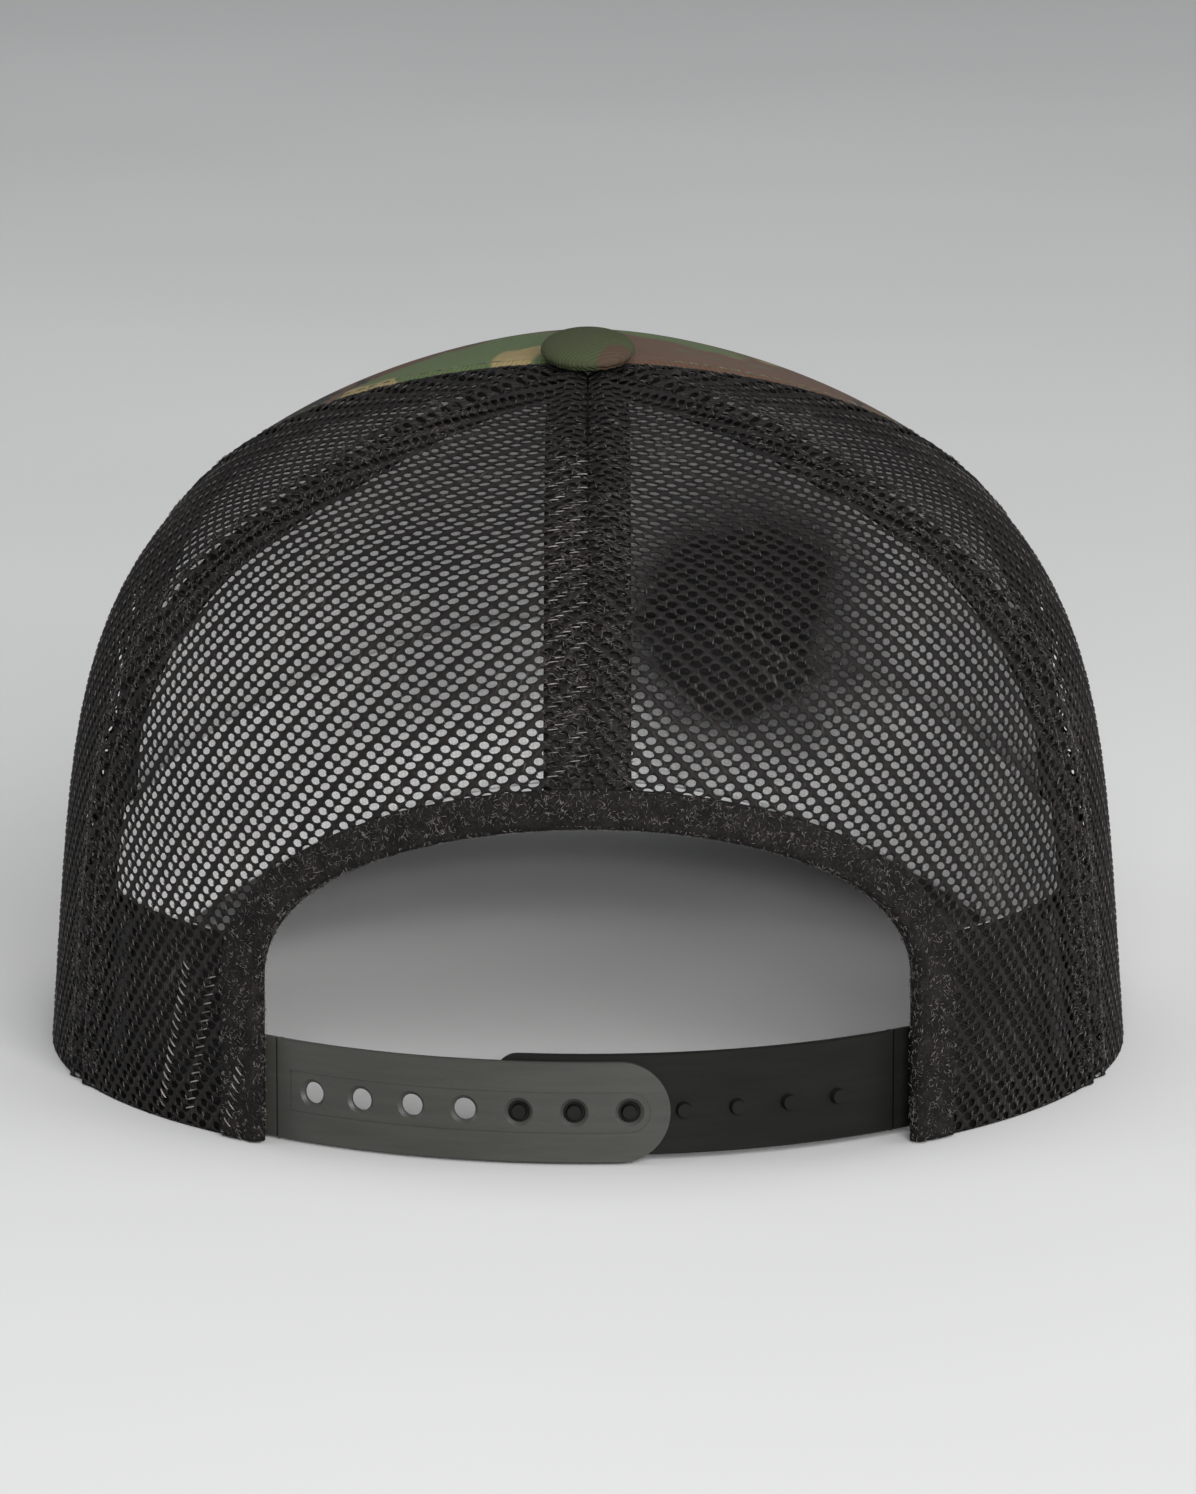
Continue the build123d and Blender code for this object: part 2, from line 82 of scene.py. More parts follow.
# ---- knitted mesh ----
WALE_ANGLE = math.radians(127)      # from the direction away from the back's centre line
HOLE_STEP = 1.83 * MM
COLUMN_STEP = 2.3 * MM
COLUMN_SHIFTS = (1.41 * MM, 1.22 * MM)
HOLE_SIZES = ((1.92 * MM, 1.22 * MM), (1.75 * MM, 1.26 * MM))
HOLE_TURNS = (math.radians(-12), math.radians(10))
PAIR_SHIFT = 0.14 * MM              # two columns of holes stand closer, with a wide rib on each side of them
CELL_SLANTS = (-0.35 * MM, -0.15 * MM)
HOLE_POINTS = 10
HOLE_LIP = 1.12
NET_DEPTH = 0.6 * MM
NET_CREST = 0.26 * MM
NET_LIP = 0.17 * MM
STRAND_RADIUS = 0.07 * MM
STRAND_HALF = (0.62 * MM, 0.34 * MM)
NET_REACH = 110 * MM                # the flat net is this wide each side of a panel's middle before it is cut
SPARE = 1.1 * MM                    # a cell whose middle lies this far outside a panel still reaches into it
LEAST_AREA = 1e-12                  # square metres, for twice a face; smaller ones are left out
ALONG_W = np.array([math.cos(WALE_ANGLE), math.sin(WALE_ANGLE)])
ALONG_P = np.array([ALONG_W[1], -ALONG_W[0]])


# ---- crown surface ----

def dome_scale(q, taper):
    q = np.clip(q, 0, 1 - 1e-9)
    return (1 - taper * q) * (1 - q ** DOME_POWER) ** (1 / DOME_ROUNDNESS)


def section(q):
    """Side, back and front half-sizes and the middle of the crown's section at a share of its height."""
    middle = APEX_SHIFT * q ** APEX_SHIFT_POWER
    side = dome_scale(q, SIDE_TAPER)
    return HALF_WIDTH * side, BACK_LENGTH * side, FRONT_LENGTH * dome_scale(q, FRONT_TAPER), middle


def nested(t):
    """Like section, for a family of plan ovals that shrink from the rim onto the button."""
    side, back, front, middle = section(t)
    pull = np.clip((t - PULL_START) / (1 - PULL_START), 0, 1)
    return side, back, front, middle + (BUTTON_Y - APEX_SHIFT) * pull * pull * (3 - 2 * pull)


def on_oval(oval, angle):
    """Plan point of an oval at an angle from +Y towards +X."""
    side, back, front, middle = oval
    ahead = np.cos(angle)
    return side * np.sin(angle), middle + np.where(ahead > 0, back, front) * ahead


def oval_angle(oval, x, y):
    side, back, front, middle = oval
    ahead = y - middle
    return np.arctan2(x / side, ahead / np.where(ahead > 0, back, front))


def inside_oval(oval, x, y):
    side, back, front, middle = oval
    ahead = y - middle
    return (x / side) ** 2 + (ahead / np.where(ahead > 0, back, front)) ** 2 < 1


def last_true(test, shape, high=1 - 1e-7, rounds=40):
    """The largest value from 0 to high that each of many tests still passes."""
    low = np.zeros(shape)
    high = np.full(shape, high)
    for _ in range(rounds):
        middle = (low + high) / 2
        passed = test(middle)
        low = np.where(passed, middle, low)
        high = np.where(passed, high, middle)
    return low


def crown_point(angle, q, depth=0.0):
    """Point of the crown at a section angle, a share of the height and a depth below the outer surface."""
    step = 1e-4
    low = np.clip(q - step, 0, 1)
    high = np.clip(q + step, 0, 1)
    run = HALF_WIDTH * (dome_scale(low, SIDE_TAPER) - dome_scale(high, SIDE_TAPER))
    rise = CROWN_HEIGHT * (high - low)
    length = np.hypot(run, rise)
    side, back, front, middle = section(q)
    inset = depth * rise / length
    x, y = on_oval((side - inset, back - inset, front - inset, middle), angle)
    return np.stack([x, y, CROWN_HEIGHT * q - depth * run / length], -1)


def lift(x, y, depth=0.0):
    """Point of the crown above a plan point."""
    x, y = np.broadcast_arrays(x, y)
    q = last_true(lambda value: inside_oval(section(value), x, y), x.shape)
    return crown_point(oval_angle(section(q), x, y), q, depth)


def surface(angle, t, depth=0.0):
    """Point of the crown by angle and nested oval, which is how the panels are laid out."""
    angle, t = np.broadcast_arrays(angle, t)
    return lift(*on_oval(nested(t), angle), depth)


def face_point(x, z, depth=0.0):
    """Point of the crown's back half, seen straight from behind."""
    q = z / CROWN_HEIGHT
    return crown_point(np.arcsin(np.clip(x / section(q)[0], -1, 1)), q, depth)


def rim_height(x, y):
    """Height of the crown's lower edge."""
    climb = EAR_Z * (np.clip(y / EAR_Y, 0, 1)) ** SIDE_RIM_POWER
    arched = VISOR_FRONT_Z + VISOR_DROOP * (y + FRONT_LENGTH) - VISOR_CURVE * x * x
    return np.where(y < EAR_Y, np.maximum(arched, EAR_Z), climb)


def rim_share(angle, above=0.0):
    """Share of the crown's height at which a line that distance above the rim runs."""
    def below(q):
        x, y = on_oval(section(q), angle)
        return CROWN_HEIGHT * q < rim_height(x, y) + above
    return last_true(below, np.shape(angle))


# ---- seams ----

def distances(line):
    """Distance of each point of a line from its start."""
    return np.concatenate([[0], np.cumsum(np.linalg.norm(np.diff(line, axis=0), axis=1))])


def on_line(at, line, values):
    """Values of a line of points at distances along it."""
    along = distances(line)
    return np.stack([np.interp(at, along, values[:, k]) for k in range(values.shape[1])], -1)


def smooth_curve(points, count=240):
    """Natural cubic spline through plan points given in millimetres."""
    points = np.array(points, float) * MM
    along = distances(points)
    gap = np.diff(along)
    size = len(points)
    matrix = np.eye(size)
    pull = np.zeros((size, 2))
    for i in range(1, size - 1):
        matrix[i, i - 1:i + 2] = gap[i - 1], 2 * (gap[i - 1] + gap[i]), gap[i]
        pull[i] = 6 * ((points[i + 1] - points[i]) / gap[i] - (points[i] - points[i - 1]) / gap[i - 1])
    bend = np.linalg.solve(matrix, pull)
    at = np.linspace(0, along[-1], count)
    i = np.clip(np.searchsorted(along, at) - 1, 0, size - 2)
    a = ((along[i + 1] - at) / gap[i])[:, None]
    b = 1 - a
    curve = (a ** 3 - a) * bend[i] + (b ** 3 - b) * bend[i + 1]
    return a * points[i] + b * points[i + 1] + curve * (gap[i] ** 2)[:, None] / 6


def seam_table(points):
    """Nested oval and angle of many points down a seam, the top one first."""
    x, y = smooth_curve(points).T
    t = last_true(lambda value: inside_oval(nested(value), x, y), x.shape)
    keep = (t > 0) & (t < TOP)
    t, x, y = t[keep], x[keep], y[keep]
    angle = oval_angle(nested(t), x, y)
    end = np.interp(0, t[::-1], angle[::-1])
    return np.append(t, 0)[::-1], np.append(angle, end)[::-1]


back_table = seam_table(BACK_SEAM)
front_table = seam_table(FRONT_SEAM)


def centre_back(t):
    return np.zeros(np.shape(t))


def back_seam(t):
    return np.interp(t, *back_table)


def front_seam(t):
    return np.interp(t, *front_table)


def centre_front(t):
    return np.full(np.shape(t), math.pi)


def ring_radius(t):
    return nested(t)[0]


# ---- meshes ----

def new_piece(name, points, faces, material, uv=None):
    """Object from points and equal-sized faces, smooth shaded, with its cloth coordinates as a UV map."""
    points = np.asarray(points, np.float32).reshape(-1, 3)
    faces = np.asarray(faces, np.int32)
    sides = faces.shape[1]
    mesh = bpy.data.meshes.new(name)
    mesh.vertices.add(len(points))
    mesh.vertices.foreach_set("co", points.ravel())
    mesh.loops.add(faces.size)
    mesh.loops.foreach_set("vertex_index", faces.ravel())
    mesh.polygons.add(len(faces))
    mesh.polygons.foreach_set("loop_start", np.arange(0, faces.size, sides, dtype=np.int32))
    mesh.polygons.foreach_set("use_smooth", np.ones(len(faces), bool))
    mesh.update(calc_edges=True)
    if uv is not None:
        layer = mesh.uv_layers.new(name="cloth")
        layer.data.foreach_set("uv", np.asarray(uv, np.float32)[faces.ravel()].ravel())
    mesh.validate()
    mesh.materials.append(material)
    piece = bpy.data.objects.new(name, mesh)
    bpy.context.collection.objects.link(piece)
    return piece


def line_inside(piece, material, first, last):
    """Gives a range of a piece's faces, such as the side towards the head, another cloth."""
    piece.data.materials.append(material)
    for face in piece.data.polygons[first:last]:
        face.material_index = 1


def join(parts):
    """Several (points, faces) as one."""
    points, faces = [], []
    total = 0
    for some_points, some_faces in parts:
        points.append(some_points)
        faces.append(some_faces + total)
        total += len(some_points)
    return np.concatenate(points), np.concatenate(faces)


def in_triangles(quads):
    return np.concatenate([quads[:, [0, 1, 2]], quads[:, [0, 2, 3]]])


def on_crown(piece, slot, *nodes):
    """Rides a piece on the crown and hides the CAD nodes that it stands for; its slot is not used."""
    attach(piece, "crown")
    if nodes:
        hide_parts(*nodes)
    return piece


def cloth_piece(node, slot, material, points, faces, uv):
    """A piece of cloth that stands for one CAD node of the crown."""
    return on_crown(new_piece("cloth_" + node, points, faces, material, uv), slot, node)


def extra_piece(name, slot, material, points, faces):
    """Thread or fibre on the crown, which no CAD node stands for."""
    return on_crown(new_piece(name, points, faces, material), slot)


def on_both_sides(base, slot, material, points, faces, uv):
    """A piece of cloth on the wearer's left and its mirror image on the right."""
    return [cloth_piece(base + "_left", slot, material, points, faces, uv),
            cloth_piece(base + "_right", slot, material, points * (-1, 1, 1), faces[:, ::-1], uv)]


def grid_faces(rows, columns, first=0, flip=False, closed=False):
    """Quads over a grid of points, closed sideways if asked."""
    wide = columns if closed else columns - 1
    i, j = np.meshgrid(np.arange(rows - 1), np.arange(wide), indexing="ij")
    after = (j + 1) % columns
    low = i * columns
    high = low + columns
    quads = np.stack([low + j, low + after, high + after, high + j], -1).reshape(-1, 4) + first
    return quads[:, ::-1] if flip else quads


def slab(outer, inner, uv=None):
    """Sheet between two grids of points, with its edges closed: points, faces and cloth coordinates."""
    if uv is None:
        uv = cloth_coordinates(outer)
    rows, columns = outer.shape[:2]
    size = rows * columns
    index = np.arange(size).reshape(rows, columns)
    edge = np.concatenate([index[0, :-1], index[:-1, -1], index[-1, :0:-1], index[:0:-1, 0]])
    after = np.roll(edge, -1)
    walls = np.stack([edge, edge + size, after + size, after], -1)
    faces = np.concatenate([grid_faces(rows, columns), grid_faces(rows, columns, size, flip=True), walls])
    points = np.concatenate([outer.reshape(-1, 3), inner.reshape(-1, 3)])
    return points, faces[:, ::-1], np.concatenate([uv.reshape(-1, 2)] * 2)


def cloth_coordinates(points):
    """Distances along and across a grid of points, in metres."""
    across = np.linalg.norm(np.diff(points, axis=1), axis=2)
    along = np.linalg.norm(np.diff(points, axis=0), axis=2)
    u = np.pad(np.cumsum(across, axis=1), ((0, 0), (1, 0)))
    v = np.pad(np.cumsum(along, axis=0), ((1, 0), (0, 0)))
    return np.stack([u - u[:, -1:] / 2, v], -1)


# ---- knitted mesh panels ----

def wrap(value, low, step):
    return low + (value - low) % step


def hole_cell(kind):
    """One knitted hole: its border and hole ring in wale coordinates, and the triangles between them."""
    half_w = HOLE_STEP / 2
    half_p = COLUMN_STEP / 2
    slant = CELL_SLANTS[kind]
    other = CELL_SLANTS[1 - kind]
    before = COLUMN_SHIFTS[kind]
    after = COLUMN_SHIFTS[1 - kind]
    left_low = -half_w - slant
    right_low = -half_w + slant
    left_mid = wrap(half_w + other - before, left_low, HOLE_STEP)
    right_mid = wrap(after + half_w - other, right_low, HOLE_STEP)
    border = [
        (-half_p, left_low), (0, -half_w), (half_p, right_low), (half_p, right_mid),
        (half_p, right_low + HOLE_STEP), (0, half_w), (-half_p, left_low + HOLE_STEP), (-half_p, left_mid)]
    long_axis, short_axis = HOLE_SIZES[kind]
    turn = HOLE_TURNS[kind] - (WALE_ANGLE - math.pi / 2)
    shift = PAIR_SHIFT if kind == 0 else -PAIR_SHIFT
    ring = []
    for i in range(HOLE_POINTS):
        around = 2 * math.pi * i / HOLE_POINTS
        p = long_axis / 2 * math.cos(around)
        w = short_axis / 2 * math.sin(around)
        ring.append((shift + p * math.cos(turn) - w * math.sin(turn),
                     p * math.sin(turn) + w * math.cos(turn)))
    return np.array(border), np.array(ring)


def between_rings(outer, inner):
    """Triangles between two rings of points that go round the same middle."""
    def order(ring):
        angles = np.arctan2(ring[:, 1], ring[:, 0])
        start = int(np.argmin(angles))
        return [(start + i) % len(ring) for i in range(len(ring))], np.roll(angles, -start)
    outer_order, outer_angles = order(outer)
    inner_order, inner_angles = order(inner)
    triangles = []
    i = j = 0
    while i < len(outer) or j < len(inner):
        next_outer = outer_angles[(i + 1) % len(outer)] + (2 * math.pi if i + 1 >= len(outer) else 0)
        next_inner = inner_angles[(j + 1) % len(inner)] + (2 * math.pi if j + 1 >= len(inner) else 0)
        a = outer_order[i % len(outer)]
        b = inner_order[j % len(inner)]
        if j >= len(inner) or (i < len(outer) and next_outer <= next_inner):
            triangles.append((("outer", a), ("outer", outer_order[(i + 1) % len(outer)]), ("inner", b)))
            i += 1
        else:
            triangles.append((("outer", a), ("inner", inner_order[(j + 1) % len(inner)]), ("inner", b)))
            j += 1
    return triangles


def cell_mesh(kind):
    """Points (p, w, height) and triangles of one cell: face, hole wall and back."""
    border, ring = hole_cell(kind)
    count = len(ring)
    middle = ring.mean(0)
    lip = middle + (ring - middle) * HOLE_LIP
    layers = [(border, NET_CREST), (lip, NET_LIP), (ring, 0.0), (lip, -NET_LIP), (border, -NET_CREST)]
    points = np.concatenate([np.column_stack([flat, np.full(len(flat), high)]) for flat, high in layers])
    starts = np.cumsum([0] + [len(flat) for flat, _ in layers])
    face_border, face_lip, _, back_lip, back_border = starts[:5]
    triangles = []
    for corners in between_rings(border, lip):
        triangles.append([(face_border if which == "outer" else face_lip) + i for which, i in corners])
        triangles.append([(back_border if which == "outer" else back_lip) + i for which, i in corners[::-1]])
    for layer in (1, 2):
        for i in range(count):
            after = (i + 1) % count
            a, b = starts[layer] + i, starts[layer] + after
            c, d = starts[layer + 1] + after, starts[layer + 1] + i
            triangles += [[a, b, c], [a, c, d]]
    return points, np.array(triangles)


def strand_mesh():
    """A thread over the narrow rib beside one hole: points (p, w, height) and triangles."""
    half = np.array(STRAND_HALF)
    middle = np.array([COLUMN_STEP / 2, -0.1 * HOLE_STEP])
    across = np.array([-half[1], half[0]]) / math.hypot(*half) * STRAND_RADIUS
    points = [(*(middle - half), NET_LIP), (*(middle + half), NET_LIP)]
    for place in (middle - half / 2, middle + half / 2):
        points += [(*(place - across), NET_CREST), (*place, NET_CREST + 2 * STRAND_RADIUS),
                   (*(place + across), NET_CREST)]
    triangles = []
    for i in range(3):
        after = (i + 1) % 3
        triangles += [[0, 2 + i, 2 + after], [2 + i, 5 + i, 5 + after], [2 + i, 5 + after, 2 + after],
                      [1, 5 + after, 5 + i]]
    return np.array(points), np.array(triangles)


def column_shifts():
    """How far each column of holes is shifted along itself, by its number from a panel's middle."""
    columns = int(NET_REACH / COLUMN_STEP) + 1
    shifts = {0: 0.0}
    for i in range(1, columns + 1):
        shifts[i] = shifts[i - 1] + COLUMN_SHIFTS[i % 2]
    for i in range(0, -columns, -1):
        shifts[i - 1] = shifts[i] - COLUMN_SHIFTS[i % 2]
    return shifts


def cell_centres(kind):
    """Middles of one kind of cell, laid out flat round a panel's middle."""
    rows = int(2 * NET_REACH / HOLE_STEP)
    centres = []
    for i, shift in sorted(column_shifts().items()):
        if i % 2 == kind:
            w = wrap(shift, 0, HOLE_STEP) + np.arange(-rows, rows) * HOLE_STEP
            centres.append(i * COLUMN_STEP * ALONG_P + w[:, None] * ALONG_W)
    return np.concatenate(centres)


def repeat_cell(points, triangles, centres):
    """One cell's mesh at each of many centres."""
    flat = points[:, :1] * ALONG_P + points[:, 1:2] * ALONG_W
    placed = centres[:, None, :] + flat[None]
    heights = np.broadcast_to(points[:, 2], placed.shape[:2])
    offsets = (np.arange(len(centres)) * len(points))[:, None, None]
    placed = np.concatenate([placed, heights[..., None]], -1)
    return placed.reshape(-1, 3), (triangles[None] + offsets).reshape(-1, 3)


def net_layout(first, second):
    """How a panel's flat cloth lies on the crown: its middle angle, and its length and width by oval."""
    t = np.linspace(0, TOP, 400)
    middle = (first(0.3) + second(0.3)) / 2
    spine = surface(middle, t)
    nudge = 0.01
    width = np.linalg.norm(surface(middle + nudge, t) - spine, axis=1) / nudge
    return middle, t, distances(spine), width


def on_panel(flat, layout):
    """Nested oval and angle of points of the flat cloth, and the cloth's width per unit of angle there."""
    middle, t_table, length_table, width_table = layout
    t = np.interp(flat[:, 1], length_table, t_table)
    width = np.maximum(np.interp(t, t_table, width_table), 1 * MM)
    return t, middle + flat[:, 0] / width, width


def seam_ridge(distance):
    """How far the mesh stands proud beside a seam: a soft ridge either side of a shallow valley."""
    ridge = 0.75 * MM * np.exp(-((distance - 3.2 * MM) / (1.9 * MM)) ** 2)
    valley = 0.35 * MM * np.exp(-(distance / (1.1 * MM)) ** 2)
    return ridge - valley


def past_arch(x, z, margin):
    """Moves points that lie in the back opening, grown by a margin, out onto its edge."""
    half = ARCH_HALF_WIDTH + margin
    rise = ARCH_RISE + margin
    up = np.maximum(z - ARCH_SPRING, 0)
    reach = np.hypot(x / half, up / rise)
    grow = np.where(reach < 1, 1 / np.maximum(reach, 0.02), 1)
    straight = z < ARCH_SPRING
    new_x = np.where(straight, np.where(np.abs(x) < half, np.copysign(half, x), x), x * grow)
    return new_x, np.where(straight, z, ARCH_SPRING + up * grow)


def in_panel(centres, layout, first, second, beside_arch):
    """The cells that lie in a panel or reach into it."""
    t, angle, width = on_panel(centres, layout)
    x, y = on_oval(nested(t), angle)
    z = CROWN_HEIGHT * t
    keep = (centres[:, 1] > -1.2 * MM) & (centres[:, 1] < layout[2][-1])
    keep &= (angle > first(t) - SPARE / width) & (angle < second(t) + SPARE / width)
    keep &= z > rim_height(x, y) - SPARE
    if beside_arch:
        new_x, new_z = past_arch(x, z, 0)
        keep &= np.hypot(new_x - x, new_z - z) < 0.3 * MM
    return centres[keep]


def merged(points, faces, grain=0.005 * MM):
    """The same mesh with points that coincide made one."""
    rounded = np.round(points / grain).astype(np.int64)
    _, index, inverse = np.unique(rounded, axis=0, return_index=True, return_inverse=True)
    return points[index], inverse.ravel()[faces]


def net(first, second, beside_arch):
    """Knitted mesh between two seams: points, faces, cloth coordinates and the first strand's face number."""
    layout = net_layout(first, second)
    up_panel = (0, layout[2][-1] / 2)
    centres = [in_panel(cell_centres(kind) + up_panel, layout, first, second, beside_arch) for kind in (0, 1)]
    cells = join([repeat_cell(*cell_mesh(kind), centres[kind]) for kind in (0, 1)])
    points, faces = merged(*join([cells, repeat_cell(*strand_mesh(), centres[0])]))
    t, angle, width = on_panel(points, layout)
    gap = 0.12 * MM / width
    angle = np.clip(angle, first(t) + gap, second(t) - gap)
    t = np.maximum(t, rim_share(angle, 0.2 * MM))
    if beside_arch:
        x = section(t)[0] * np.sin(angle)
        z = CROWN_HEIGHT * t
        new_x, new_z = past_arch(x, z, 1.2 * MM)
        moved = (np.abs(new_x - x) + np.abs(new_z - z) > 0) & (t < PULL_START)
        t = np.where(moved, new_z / CROWN_HEIGHT, t)
        angle = np.where(moved, np.arcsin(np.clip(new_x / section(t)[0], -1, 1)), angle)
    nearest = np.minimum(np.abs(angle - first(t)), np.abs(second(t) - angle)) * ring_radius(t)
    placed = surface(angle, t, NET_DEPTH - points[:, 2] - seam_ridge(nearest))
    a, b, c = (placed[faces[:, i]] for i in range(3))
    solid = np.linalg.norm(np.cross(b - a, c - a), axis=1) > LEAST_AREA
    knitted = int(solid[:len(cells[1])].sum())
    return placed, faces[solid][:, ::-1], points[:, :2], knitted


# ---- thread ----

def stitch_mesh(centres, directions, normals, length, radius, sink=0.35, sides=6):
    """Short arched threads, each a tapered tube that dips into the cloth at both ends."""
    stations = np.array([-1.0, -0.72, 0.0, 0.72, 1.0])
    fatness = np.array([0.35, 0.85, 1.0, 0.85, 0.35])
    rises = np.array([-1.2, -0.1, sink, -0.1, -1.2])
    around = np.arange(sides) * 2 * math.pi / sides
    length = np.broadcast_to(np.asarray(length, float), (len(centres),))
    directions = directions / np.linalg.norm(directions, axis=1, keepdims=True)
    across = np.cross(normals, directions)
    across /= np.linalg.norm(across, axis=1, keepdims=True)
    rings = []
    for station, fat, rise in zip(stations, fatness, rises):
        middle = centres + directions * (station * length / 2)[:, None] + normals * rise * radius
        for angle in around:
            rings.append(middle + radius * fat * (math.cos(angle) * across + math.sin(angle) * normals))
    points = np.stack(rings, 1)
    count = len(stations)
    last = (count - 1) * sides
    ends = []
    for i in range(1, sides - 1):
        ends += [[0, i + 1, i], [last, last + i, last + i + 1]]
    faces = np.concatenate([in_triangles(grid_faces(count, sides, closed=True)), ends])
    offsets = (np.arange(len(centres)) * count * sides)[:, None, None]
    return points.reshape(-1, 3), (faces[None] + offsets).reshape(-1, 3)


def row_of_stitches(path, normals, pitch, length, radius, lean=0.0, start=None):
    """Stitches at an even pitch down a line of points, each turned out of the line by its lean."""
    reach = distances(path)[-1]
    at = np.arange(pitch / 2 if start is None else start, reach, pitch)
    centres = on_line(at, path, path)
    ahead = on_line(at + pitch / 8, path, path) - on_line(at - pitch / 8, path, path)
    ahead /= np.linalg.norm(ahead, axis=1, keepdims=True)
    up = on_line(at, path, normals)
    up /= np.linalg.norm(up, axis=1, keepdims=True)
    directions = math.cos(lean) * ahead + math.sin(lean) * np.cross(up, ahead)
    return stitch_mesh(centres, directions, up, length, radius)


def seam_line(seam, offset, depth, low=0.0, high=0.985, count=160):
    """Line beside a seam on the crown, with the outward direction at each point."""
    t = np.linspace(low, high, count)
    angle = seam(t) + offset / ring_radius(t)
    t = np.maximum(t, rim_share(angle, 1.0 * MM))
    path = surface(angle, t, depth)
    out = surface(angle, t, depth - 1 * MM) - path
    return path, out / np.linalg.norm(out, axis=1, keepdims=True)


# ---- materials ----

NONE, ALL = (0, 0, 0), (1, 1, 1)    # ends of a ramp that is used as a share


def shader(name, roughness, **constants):
    """New material and its node tree; the constants are set on its surface shader's own sockets."""
    material = bpy.data.materials.new(name)
    material.use_nodes = True
    bsdf = material.node_tree.nodes["Principled BSDF"]
    bsdf.inputs["Roughness"].default_value = roughness
    for socket, value in constants.items():
        bsdf.inputs[socket.replace("_", " ")].default_value = value
    return material, material.node_tree


def finish(material, color, height=None, distance=0.0, strength=1.0, roughness=None):
    """Links a material's colour, and its bump and roughness where given."""
    tree = material.node_tree
    bsdf = tree.nodes["Principled BSDF"]
    tree.links.new(color, bsdf.inputs["Base Color"])
    if height is not None:
        bump = add(tree, "Bump", {"Height": height, "Distance": distance, "Strength": strength})
        tree.links.new(bump.outputs["Normal"], bsdf.inputs["Normal"])
    if roughness is not None:
        tree.links.new(roughness, bsdf.inputs["Roughness"])
    return material


def add(tree, kind, inputs=None, **settings):
    """New node with its settings; each input is a value or another node's output."""
    node = tree.nodes.new("ShaderNode" + kind)
    for setting, value in settings.items():
        setattr(node, setting, value)
    for socket, value in (inputs or {}).items():
        if isinstance(value, bpy.types.NodeSocket):
            tree.links.new(value, node.inputs[socket])
        else:
            node.inputs[socket].default_value = value
    return node


def cloth_space(tree, scale=(1, 1, 1), turn=0.0):
    """Cloth coordinates in metres, turned and scaled."""
    uv = add(tree, "UVMap", uv_map="cloth")
    turned = add(tree, "Mapping", {"Vector": uv.outputs["UV"], "Rotation": (0, 0, turn), "Scale": scale})
    return turned.outputs["Vector"]


def object_space(tree, scale=(1, 1, 1), move=(0, 0, 0)):
    place = add(tree, "TexCoord")
    moved = add(tree, "Mapping", {"Vector": place.outputs["Object"], "Scale": scale, "Location": move})
    return moved.outputs["Vector"]


def along_axis(tree, vector, axis):
    return add(tree, "SeparateXYZ", {0: vector}).outputs[axis]


def noise(tree, vector, scale, detail=3.0, roughness=0.55, distortion=0.0):
    return add(tree, "TexNoise", {"Vector": vector, "Scale": scale, "Detail": detail, "Roughness": roughness,
                                  "Distortion": distortion}).outputs["Fac"]


def waves(tree, vector, scale, distortion, direction="X", **more):
    settings = {"Vector": vector, "Scale": scale, "Distortion": distortion, **more}
    return add(tree, "TexWave", settings, bands_direction=direction).outputs["Fac"]


def ball(tree, middle, sizes):
    """One at a place, falling evenly to nothing at a distance that may differ along each axis."""
    scale = tuple(1 / size for size in sizes)
    move = tuple(-place / size for place, size in zip(middle, sizes))
    return add(tree, "TexGradient", {"Vector": object_space(tree, scale, move)},
               gradient_type="SPHERICAL").outputs["Fac"]


def grey(level):
    return (level,) * 3


def ramp(tree, value, *stops):
    """Colour ramp; each stop is (place, colour)."""
    node = add(tree, "ValToRGB", {"Fac": value})
    elements = node.color_ramp.elements
    while len(elements) < len(stops):
        elements.new(0.5)
    for element, (place, color) in zip(elements, stops):
        element.position = place
        element.color = (*color, 1)
    return node.outputs["Color"]


def remap(tree, value, low, high, to_low=0.0, to_high=1.0):
    return add(tree, "MapRange", {"Value": value, "From Min": low, "From Max": high, "To Min": to_low,
                                  "To Max": to_high}).outputs["Result"]


def math_node(tree, operation, a, b=0.0):
    return add(tree, "Math", {0: a, 1: b}, operation=operation).outputs["Value"]


def weighted(tree, *pairs):
    """Sum of values, each given with its weight."""
    total = 0.0
    for value, weight in pairs:
        total = math_node(tree, "ADD", total, math_node(tree, "MULTIPLY", value, weight))
    return total


def mix(tree, share, a, b, blend="MIX"):
    node = add(tree, "Mix", {0: share}, data_type="RGBA", blend_type=blend)
    for place, value in ((6, a), (7, b)):
        if isinstance(value, bpy.types.NodeSocket):
            tree.links.new(value, node.inputs[place])
        else:
            node.inputs[place].default_value = (*value, 1)
    return node.outputs[2]


def shade(tree, share, color, value, *stops):
    """Colour darkened by a ramp over a value."""
    return mix(tree, share, color, ramp(tree, value, *stops), "MULTIPLY")


def twill_height(tree, pitch=0.55 * MM):
    """Diagonal ribs of a twill weave, crossed by its finer threads."""
    diagonal = cloth_space(tree, turn=math.radians(63))
    rib = waves(tree, diagonal, 0.314 / pitch, 0.6, **{"Detail": 2, "Detail Scale": 4.0})
    crossing = waves(tree, cloth_space(tree), 0.5 / pitch, 0.4)
    return weighted(tree, (rib, 1.0), (crossing, 0.35))


def twill_shade(tree, color, weave):
    return shade(tree, 0.3, color, weave, (0.2, grey(0.4)), (1.0, ALL))


